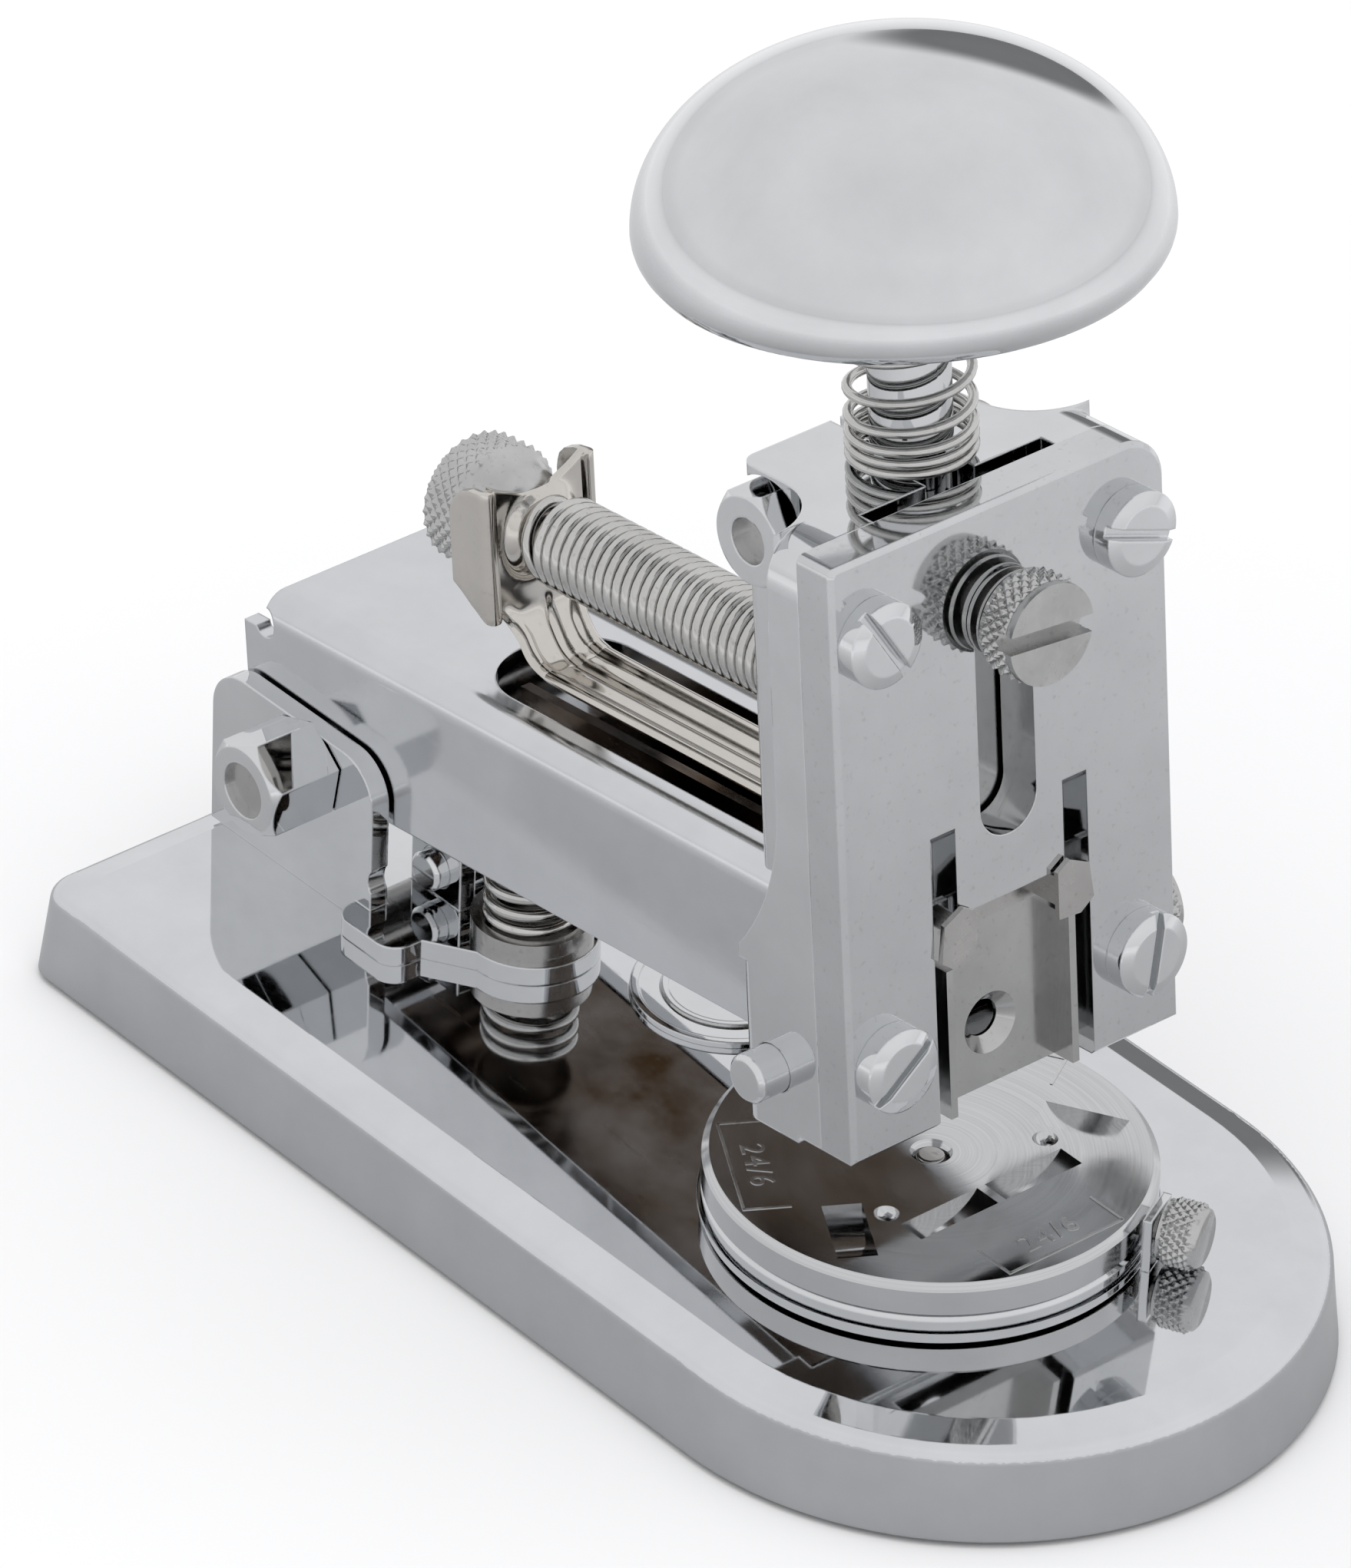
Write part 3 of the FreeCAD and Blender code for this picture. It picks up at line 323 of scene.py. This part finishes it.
def grid_mesh(name, rows, close_u=False, caps=False):
    """A mesh from rows of points; close_u joins each row's end to its start."""
    rows = np.asarray(rows, float)
    count_v, count_u, _ = rows.shape
    verts = [tuple(p) for p in rows.reshape(-1, 3)]
    faces = []
    last = count_u if close_u else count_u - 1
    for v in range(count_v - 1):
        for u in range(last):
            w = (u + 1) % count_u
            faces.append((v * count_u + u, v * count_u + w, (v + 1) * count_u + w, (v + 1) * count_u + u))
    if caps:
        faces.append(tuple(reversed(range(count_u))))
        faces.append(tuple((count_v - 1) * count_u + u for u in range(count_u)))
    mesh = bpy.data.meshes.new(name)
    mesh.from_pydata(verts, [], faces)
    mesh.validate()
    bm = bmesh.new()
    bm.from_mesh(mesh)
    bmesh.ops.recalc_face_normals(bm, faces=bm.faces)
    bm.to_mesh(mesh)
    bm.free()
    return mesh


def sharp(obj, degrees=35.0):
    """Keeps edges over this angle crisp on a smooth-shaded piece."""
    mesh = obj.data
    bm = bmesh.new()
    bm.from_mesh(mesh)
    for edge in bm.edges:
        if len(edge.link_faces) == 2 and edge.calc_face_angle(0.0) > math.radians(degrees):
            edge.smooth = False
    bm.to_mesh(mesh)
    bm.free()
    return obj


def basis(axis, hint):
    w = Vector(axis).normalized()
    u = (Vector(hint) - w * Vector(hint).dot(w)).normalized()
    return u, w.cross(u), w


def turned(name, origin, axis, profile, segments=96, hint=(0, 0, 1), bump=None):
    """A lathe piece: profile holds (distance along the axis, radius) in millimetres."""
    u, v, w = basis(axis, hint)
    rows = []
    for along, radius in profile:
        row = []
        for k in range(segments):
            t = 2 * math.pi * k / segments
            r = radius + (bump(along, t) if bump else 0.0)
            row.append(origin + (u * math.cos(t) * r + v * math.sin(t) * r + w * along) * MM)
        rows.append(row)
    return grid_mesh(name, rows, close_u=True, caps=True)


def knurl(count, start, end, depth, pitch):
    """Height of a diamond knurl: small pyramids between two crossing sets of grooves."""
    def tri(x):
        f = x - math.floor(x)
        return 1.0 - abs(2.0 * f - 1.0)

    def height(along, t):
        if along < start or along > end:
            return 0.0
        p = count * t / (2 * math.pi)
        q = (along - start) / pitch
        edge = min(1.0, (along - start) / 0.25, (end - along) / 0.25)
        return -depth + depth * 1.6 * min(tri(p + q), tri(p - q)) * max(edge, 0.0)
    return height


def steps(points, fine_from, fine_to, step):
    """Adds closely spaced profile points on the knurled stretch."""
    out = []
    for (a0, r0), (a1, r1) in zip(points, points[1:]):
        out.append((a0, r0))
        if a0 >= fine_from - 1e-6 and a1 <= fine_to + 1e-6:
            n = max(int((a1 - a0) / step), 1)
            out += [(a0 + (a1 - a0) * i / n, r0 + (r1 - r0) * i / n) for i in range(1, n)]
    out.append(points[-1])
    return out


def cut(obj, cutter):
    """Takes one mesh out of another and keeps the result."""
    mod = obj.modifiers.new("cut", "BOOLEAN")
    mod.operation = "DIFFERENCE"
    mod.solver = "EXACT"
    mod.object = cutter
    bpy.context.view_layer.update()
    result = bpy.data.meshes.new_from_object(obj.evaluated_get(bpy.context.evaluated_depsgraph_get()))
    obj.modifiers.clear()
    obj.data = result
    bpy.data.objects.remove(cutter)


def block(name, centre, axes, half):
    verts = []
    for sx in (-1, 1):
        for sy in (-1, 1):
            for sz in (-1, 1):
                corner = centre + axes[0] * sx * half[0] + axes[1] * sy * half[1]
                verts.append(corner + axes[2] * sz * half[2])
    mesh = bpy.data.meshes.new(name)
    mesh.from_pydata([tuple(v) for v in verts], [], [(0, 1, 3, 2), (4, 6, 7, 5), (0, 4, 5, 1), (2, 3, 7, 6),
                                                     (0, 2, 6, 4), (1, 5, 7, 3)])
    obj = bpy.data.objects.new(name, mesh)
    bpy.context.scene.collection.objects.link(obj)
    return obj


def wire_coil(name, path, radius, sides=14):
    """A round wire along a list of points."""
    path = [Vector(p) for p in path]
    rows = []
    normal = None
    for i, p in enumerate(path):
        tangent = (path[min(i + 1, len(path) - 1)] - path[max(i - 1, 0)]).normalized()
        if normal is None:
            normal = tangent.orthogonal().normalized()
        normal = (normal - tangent * normal.dot(tangent)).normalized()
        other = tangent.cross(normal)
        angles = [2 * math.pi * k / sides for k in range(sides)]
        rows.append([p + (normal * math.cos(t) + other * math.sin(t)) * radius for t in angles])
    return grid_mesh(name, rows, close_u=True, caps=True)


def helix(origin, axis, hint, radius, places, per_turn=40, start=0.0):
    """Points of a helix; places holds (turn, height in mm) pairs, joined evenly."""
    u, v, w = basis(axis, hint)
    turns = np.array([p[0] for p in places])
    heights = np.array([p[1] for p in places])
    points = []
    for i in range(int(turns[-1] * per_turn) + 1):
        t = i / per_turn
        h = float(np.interp(t, turns, heights))
        angle = 2 * math.pi * t + start
        points.append(origin + (u * math.cos(angle) * radius + v * math.sin(angle) * radius + w * h) * MM)
    return points


# ------------------------------------------------------------ coil springs

shaft_foot = arm(PLUNGER_A, 0, PLUNGER_FOOT_B)
coil = add("plunger_coil", wire_coil("plunger_coil", helix(
    shaft_foot, SQUARE, ALONG, 4.95,
    [(0, 0.46), (1, 1.36), (2, 2.3), (3, 3.5), (4, 5.6), (5, 8.6), (6, 12.6), (6.7, 15.6), (7.3, 16.1)],
    start=2.2), 0.42 * MM), WIRE, "arm")
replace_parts(coil, "plunger_spring")
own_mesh(coil)


def pusher_coil_path():
    """A hook on the plate, then close turns up to the head."""
    points = []
    turns = 32.0
    for i in range(int(turns * 32) + 1):
        t = i / 32.0
        grow = min(t / 0.9, 1.0)
        radius = 2.3 + 1.2 * grow
        place = 17.7 + 3.2 * grow ** 1.3 + 34.6 * max(t - 0.9, 0.0) / (turns - 0.9)
        angle = 2 * math.pi * t - 1.2
        points.append(arm(place, math.cos(angle) * radius, ROD_B + math.sin(angle) * radius))
    return points


coil = add("pusher_coil", wire_coil("pusher_coil", pusher_coil_path(), 0.5 * MM, 12), WIRE, None)
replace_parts(coil, "pusher_spring")
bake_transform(coil)

cup_lo, cup_hi = (Vector(p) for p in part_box("spring_cup"))
seat = Vector(((cup_lo.x + cup_hi.x) / 2, (cup_lo.y + cup_hi.y) / 2, cup_lo.z + 0.8 * MM))
coil = add("lift_coil", wire_coil("lift_coil", helix(
    seat, (0, 0, 1), (1, 0, 0), 3.7,
    [(0, 0.62), (1, 1.7), (2, 3.4), (3, 5.1), (4, 6.4), (4.4, 6.8)],
    start=0.6), 0.52 * MM), WIRE, "base")
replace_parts(coil, "lift_spring")
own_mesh(coil)


# ------------------------------------------------------------ knurled knobs

shape = steps([(0.0, 3.0), (0.1, 4.3), (0.45, 5.2), (1.0, 5.66), (4.5, 5.7), (4.65, 5.35), (5.0, 5.0),
               (6.4, 4.55), (7.6, 3.95), (8.3, 3.3), (8.55, 2.6)], 1.0, 4.5, 0.14)
knob = add("pusher_knob", turned("pusher_knob", arm(ROD_KNOB_A, 0, ROD_B), ALONG, shape, 288, SQUARE,
                                 knurl(30, 0.3, 4.55, 0.26, 1.2)), KNURL, "pusher")
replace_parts(sharp(knob, 50), "rod_knob")

shape = steps([(0.0, 4.0), (0.15, 4.25), (0.5, 4.4), (4.9, 4.4), (5.2, 4.2), (5.3, 3.9)], 0.5, 4.9, 0.14)
knob = add("lock_knob", turned("lock_knob", Vector(arm(*LOCK_PIN_END)), ACROSS, shape, 256, SQUARE,
                               knurl(30, 0.5, 4.9, 0.26, 1.1)), KNURL, "lock_pin")
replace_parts(sharp(knob, 50), "lock_pin_knob")

turn_axis = Vector(joints["disc_lock_turn"]["axis"]).normalized()
lock_lo, lock_hi = (Vector(p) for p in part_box("disc_lock_knob"))
middle = (lock_lo + lock_hi) / 2
shape = steps([(-1.8, 2.3), (-1.65, 2.6), (-1.4, 2.8), (1.3, 2.8), (1.6, 2.5), (1.8, 2.2)], -1.4, 1.3, 0.12)
knob = add("disc_knob", turned("disc_knob", middle, turn_axis, shape, 200, (0, 0, 1),
                               knurl(22, -1.4, 1.3, 0.24, 0.95)), KNURL, "disc_lock")
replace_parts(sharp(knob, 50), "disc_lock_knob")

thumb_face = arm(FRONT_FACE_A, 0, THUMB_B)
shape = steps([(-4.15, 1.5), (-4.0, 1.6), (-0.3, 1.6), (-0.15, 2.5), (0.04, 2.5), (0.06, 3.7), (0.5, 3.75),
               (0.62, 2.6), (1.35, 2.6), (1.4, 3.9), (1.75, 4.0), (1.85, 3.5), (2.05, 3.5), (2.15, 4.3),
               (2.4, 4.5), (5.1, 4.5), (5.3, 4.35), (5.9, 4.3)], 2.4, 5.1, 0.13)
thumb = add("thumb_screw", turned("thumb_screw", thumb_face, ALONG, shape, 256, SQUARE,
                                  knurl(28, 2.3, 5.15, 0.3, 1.1)), KNURL, "plunger")
turn = Matrix.Rotation(math.radians(-6.0), 3, ALONG)
slot_axes = (ALONG, turn @ ACROSS, turn @ SQUARE)
slot_middle = arm(FRONT_FACE_A + 6.0, 0, THUMB_B)
cut(thumb, block("slot_tool", slot_middle, slot_axes, (1.6 * MM, 7 * MM, 0.75 * MM)))
for face in thumb.data.polygons:
    face.use_smooth = True
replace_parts(sharp(thumb, 40), "thumbscrew")


# ------------------------------------------------------------ push knob

def dome_profile():
    """The underside, the rolled rim and a quarter of an ellipse, from the rim's plane upwards."""
    pts = [(66.2 - DOME_B, 0.02), (66.2 - DOME_B, 5.6), (66.6 - DOME_B, 18.7)]
    pts += [(-2.4 + 0.28 * (1 - math.cos(i * 0.35)), 18.7 + 1.8 * math.sin(i * 0.35)) for i in range(1, 4)]
    pts += [(-1.5, 20.85), (-1.0, 21.1), (-0.5, 21.24), (0.0, 21.3)]
    for i in range(1, 49):
        angle = math.pi / 2 * i / 49.0
        pts.append((14.2 * math.sin(angle), 21.3 * math.cos(angle)))
    pts.append((14.2, 0.02))
    return pts


dome_mesh = turned("dome", arm(PLUNGER_A, 0, DOME_B), SQUARE, dome_profile(), 160, ALONG)
knob = add("dome", dome_mesh, CHROME, "plunger")
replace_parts(sharp(knob, 40), "push_knob")


# ------------------------------------------------------------ staple pusher sheet

def smooth_path(points, per=8):
    """A Catmull-Rom line through (a, b) points."""
    pts = [np.array(p, float) for p in points]
    pts = [pts[0] * 2 - pts[1]] + pts + [pts[-1] * 2 - pts[-2]]
    out = []
    for p0, p1, p2, p3 in zip(pts, pts[1:], pts[2:], pts[3:]):
        for i in range(per):
            t = i / per
            out.append(0.5 * (2 * p1 + (p2 - p0) * t + (2 * p0 - 5 * p1 + 4 * p2 - p3) * t * t
                              + (3 * p1 - p0 - 3 * p2 + p3) * t ** 3))
    out.append(pts[-2])
    return out


def pusher_sheet():
    """The dished plate and the S-shaped strip that leads forwards; the plate's two bent-back wings are built
    by wing().
    """
    rows = []
    path = smooth_path([(17.4, 27.9), (17.4, 26.0), (17.4, 22.0), (17.4, 18.6), (17.55, 16.9), (18.3, 15.2),
                        (19.5, 13.6), (21.2, 12.85), (24.0, 12.7), (40.0, 12.7), (62.6, 12.7)], 7)
    heights = (12.0, 13.2, 15.2, 16.6, 18.2, 27.9)
    halves = (3.5, 3.5, 3.5, 3.9, 4.9, 4.9)
    for i, (a, b) in enumerate(path):
        before, after = path[max(i - 1, 0)], path[min(i + 1, len(path) - 1)]
        along = np.array(after) - np.array(before)
        along = along / np.linalg.norm(along)
        normal = (-along[1], along[0])
        width = float(np.interp(b, heights, halves))
        ridge = min(1.0, max(0.0, (18.4 - b) / 3.0))
        row = []
        for k in range(-28, 29):
            y = k / 28.0 * width
            rib = 0.5 * ridge * math.exp(-((abs(y) - width * 0.84) / 0.55) ** 2)
            rib -= 0.45 * ridge * math.exp(-((y - 0.2) / 0.5) ** 2)
            reach = math.sqrt(y * y + (b - ROD_B) ** 2)
            dish = 1.1 * (1.0 - ridge) / (1.0 + math.exp((reach - 3.3) / 0.28))
            h = rib + dish
            lift = 1.7 * (y / 4.9) ** 2 * max(0.0, (b - 25.0) / 2.9)
            row.append(arm(a + normal[0] * h, y, b + normal[1] * h + lift))
        rows.append(row)
    return grid_mesh("pusher_sheet", rows)


def wing(side):
    """One wing: it leaves the plate in a small roll and runs straight back beside the knob."""
    profile = smooth_path([(17.45, 4.7), (17.75, 5.1), (17.7, 5.45), (17.2, 5.6), (16.0, 5.55), (14.6, 5.6),
                           (13.5, 5.75)], 6)
    rows = []
    for a, y in profile:
        low = float(np.interp(a, (13.4, 15.5, 17.4, 17.8), (20.2, 18.5, 17.4, 17.3)))
        high = float(np.interp(a, (13.4, 13.6, 14.0, 14.8, 16.0, 17.8), (25.8, 26.9, 27.9, 28.7, 29.2, 29.4)))
        rows.append([arm(a, y * side, low + (high - low) * k / 20.0) for k in range(21)])
    return grid_mesh("pusher_wing", rows)


def sheet_piece(name, mesh, thickness):
    obj = add(name, mesh, NICKEL, "pusher")
    solid = obj.modifiers.new("thick", "SOLIDIFY")
    solid.thickness = thickness * MM
    solid.offset = 0.0
    round_off = obj.modifiers.new("round", "BEVEL")
    round_off.width = 0.18 * MM
    round_off.segments = 2
    round_off.limit_method = "ANGLE"
    round_off.angle_limit = math.radians(50)
    return obj


sheet = sheet_piece("pusher_sheet", pusher_sheet(), SHEET_THICKNESS)
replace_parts(sheet, "pusher_plate")
for side in (-1, 1):
    sheet_piece("pusher_wing_" + ("left" if side < 0 else "right"), wing(side), SHEET_THICKNESS)


# ------------------------------------------------------------ marks on the disc

def framed_mark(index, turn_deg):
    """A generic staple size in a thin frame near the disc's rim."""
    text = bpy.data.curves.new("mark_text", "FONT")
    text.body = "24/6"
    text.size = 2.9 * MM
    text.align_x = "CENTER"
    text.align_y = "CENTER"
    text.extrude = 0.04 * MM
    text.space_character = 1.15
    source = bpy.data.objects.new("mark_text", text)
    bpy.context.scene.collection.objects.link(source)
    bpy.context.view_layer.update()
    mesh = bpy.data.meshes.new_from_object(source.evaluated_get(bpy.context.evaluated_depsgraph_get()))
    bpy.data.objects.remove(source)
    bm = bmesh.new()
    bm.from_mesh(mesh)
    for sx, sy, lx, ly in ((0, -2.1, 6.0, 0.12), (-6.0, -0.2, 0.12, 2.0), (6.0, -0.2, 0.12, 2.0)):
        made = bmesh.ops.create_cube(bm, size=1.0)
        for v in made["verts"]:
            v.co = Vector((v.co.x * 2 * lx + sx, v.co.y * 2 * ly + sy, v.co.z * 0.08)) * MM
    place = Matrix.Translation((DISC.x, DISC.y, DISC_TOP + 0.02 * MM))
    place = place @ Matrix.Rotation(math.radians(turn_deg), 4, "Z")
    place = place @ Matrix.Translation((MARK_RADIUS * MM, 0, 0)) @ Matrix.Rotation(math.radians(90), 4, "Z")
    bm.transform(place)
    bm.to_mesh(mesh)
    bm.free()
    return add("disc_mark_" + str(index), mesh, MARK, "anvil_disc", smooth=False)


for index, turn_deg in enumerate((0.0, 120.0, 240.0)):
    framed_mark(index, turn_deg)


# ------------------------------------------------------------ floor, light and camera

floor = bpy.data.meshes.new("floor")
floor.from_pydata([(-3, -3, 0), (3, -3, 0), (3, 3, 0), (-3, 3, 0)], [], [(0, 1, 2, 3)])
ground = bpy.data.objects.new("floor", floor)
bpy.context.scene.collection.objects.link(ground)
paper = Nodes("paper_floor")
paper.link(paper.ramp(paper.noise(6.0, 2.0), [(0.2, (0.82, 0.82, 0.825)), (0.8, (0.85, 0.85, 0.85))]),
           paper.shader.inputs["Base Color"])
paper.shader.inputs["Roughness"].default_value = 0.9
paper.shader.inputs["Specular IOR Level"].default_value = 0.1
floor.materials.append(paper.material)

# Painted shadow: a grey card round the object, seen only in reflections, stands in for the shaded floor near
# the base; it fades out with distance and gives the plated sides their darker tone.
card_mesh = bpy.data.meshes.new("painted_shadow_card")
CARD_HALF = 0.4
CARD_Z = 0.0001
corners = ((-1, -1), (1, -1), (1, 1), (-1, 1))
card_mesh.from_pydata([(x * CARD_HALF, y * CARD_HALF, CARD_Z) for x, y in corners], [], [(0, 1, 2, 3)])
card = bpy.data.objects.new("painted_shadow_card", card_mesh)
bpy.context.scene.collection.objects.link(card)
grey = Nodes("painted_shadow_card")
away = grey.tree.nodes.new("ShaderNodeVectorMath")
away.operation = "LENGTH"
grey.link(grey.mapping((0.8, 1.0, 0.0)), away.inputs[0])
grey.link(grey.ramp(grey.noise(8.0, 2.0), [(0.2, (0.42, 0.425, 0.43)), (0.8, (0.45, 0.45, 0.455))]),
          grey.shader.inputs["Base Color"])
# Painted shadow: the card is fully there within 5 cm of the centre and fades to nothing 30 cm out.
grey.link(grey.span(away.outputs["Value"], 0.05, 0.30, 1.0, 0.0), grey.shader.inputs["Alpha"])
grey.shader.inputs["Roughness"].default_value = 0.9
card_mesh.materials.append(grey.material)
for look in ("visible_camera", "visible_diffuse", "visible_shadow", "visible_transmission"):
    setattr(card, look, False)

world = bpy.data.worlds.new("studio")
bpy.context.scene.world = world
world.use_nodes = True
tree = world.node_tree
back = tree.nodes["Background"]
coords = tree.nodes.new("ShaderNodeTexCoord")
split = tree.nodes.new("ShaderNodeSeparateXYZ")
tree.links.new(coords.outputs["Generated"], split.inputs[0])
ramp = tree.nodes.new("ShaderNodeValToRGB")
height = tree.nodes.new("ShaderNodeMapRange")
tree.links.new(split.outputs["Z"], height.inputs["Value"])
height.inputs["From Min"].default_value = -0.2
height.inputs["From Max"].default_value = 1.0
tree.links.new(height.outputs["Result"], ramp.inputs["Fac"])
stops = [(0.0, 0.86), (0.165, 0.86), (0.21, 0.88), (0.28, 0.93), (0.42, 0.93), (0.60, 0.92), (0.80, 0.94),
         (1.0, 0.90)]
elements = ramp.color_ramp.elements
while len(elements) < len(stops):
    elements.new(0.5)
for element, (place, tone) in zip(elements, stops):
    element.position = place
    element.color = (tone, tone, tone * 1.012, 1)
side = tree.nodes.new("ShaderNodeVectorMath")
side.operation = "DOT_PRODUCT"
tree.links.new(coords.outputs["Generated"], side.inputs[0])
side.inputs[1].default_value = (0.85, 0.5, 0.15)
shade = tree.nodes.new("ShaderNodeMapRange")
tree.links.new(side.outputs["Value"], shade.inputs["Value"])
for key, number in zip(("From Min", "From Max", "To Min", "To Max"), (-1.0, 1.0, 0.96, 1.03)):
    shade.inputs[key].default_value = number
# One darker gap in the light tent, behind and to the left.
gap = tree.nodes.new("ShaderNodeVectorMath")
gap.operation = "DOT_PRODUCT"
tree.links.new(coords.outputs["Generated"], gap.inputs[0])
gap.inputs[1].default_value = Vector((-0.62, 0.77, 0.10)).normalized()
gap_shade = tree.nodes.new("ShaderNodeMapRange")
gap_shade.interpolation_type = "SMOOTHSTEP"
tree.links.new(gap.outputs["Value"], gap_shade.inputs["Value"])
for key, number in zip(("From Min", "From Max", "To Min", "To Max"), (0.955, 0.985, 1.0, 0.25)):
    gap_shade.inputs[key].default_value = number
both = tree.nodes.new("ShaderNodeMath")
both.operation = "MULTIPLY"
tree.links.new(shade.outputs["Result"], both.inputs[0])
tree.links.new(gap_shade.outputs["Result"], both.inputs[1])
scale = tree.nodes.new("ShaderNodeVectorMath")
scale.operation = "SCALE"
tree.links.new(ramp.outputs["Color"], scale.inputs[0])
tree.links.new(both.outputs[0], scale.inputs["Scale"])
tree.links.new(scale.outputs[0], back.inputs["Color"])
back.inputs["Strength"].default_value = 1.0


def soft_light(name, place, aim, size, power):
    data = bpy.data.lights.new(name, "AREA")
    data.shape = "RECTANGLE"
    data.size, data.size_y = size
    data.energy = power
    obj = bpy.data.objects.new(name, data)
    bpy.context.scene.collection.objects.link(obj)
    obj.location = place
    obj.rotation_mode = "QUATERNION"
    obj.rotation_quaternion = (Vector(aim) - Vector(place)).to_track_quat("-Z", "Y")
    return obj


centre = (Vector(CAD_LO) + Vector(CAD_HI)) / 2
fill = soft_light("top_softbox", centre + Vector((0.2, -0.2, 1.6)), centre, (2.4, 2.4), 15.0)
fill.visible_glossy = False


yaw, pitch, roll = math.radians(48.8), math.radians(33.82), math.radians(2.17)
right = Vector((math.cos(yaw), math.sin(yaw), 0))
behind = Vector((math.sin(yaw) * math.cos(pitch), -math.cos(yaw) * math.cos(pitch), math.sin(pitch)))
above = behind.cross(right)
cam_right = right * math.cos(roll) + above * math.sin(roll)
cam_up = above * math.cos(roll) - right * math.sin(roll)
camera = bpy.data.objects.new("camera", bpy.data.cameras.new("camera"))
bpy.context.scene.collection.objects.link(camera)
aim = Vector((0.039, 0, 0)) + cam_right * -0.03059 + cam_up * 0.04855
CAMERA_DISTANCE = 1.0
eye = aim + behind * CAMERA_DISTANCE
rows = Matrix((cam_right, cam_up, behind)).transposed().to_4x4()
rows.translation = eye
camera.matrix_world = rows
camera.data.sensor_width = 36.0
camera.data.lens = 284.42
camera.data.clip_start = 0.05
camera.data.clip_end = 20.0
bpy.context.scene.camera = camera

bpy.context.scene.view_settings.view_transform = "Standard"
bpy.context.scene.view_settings.look = "None"
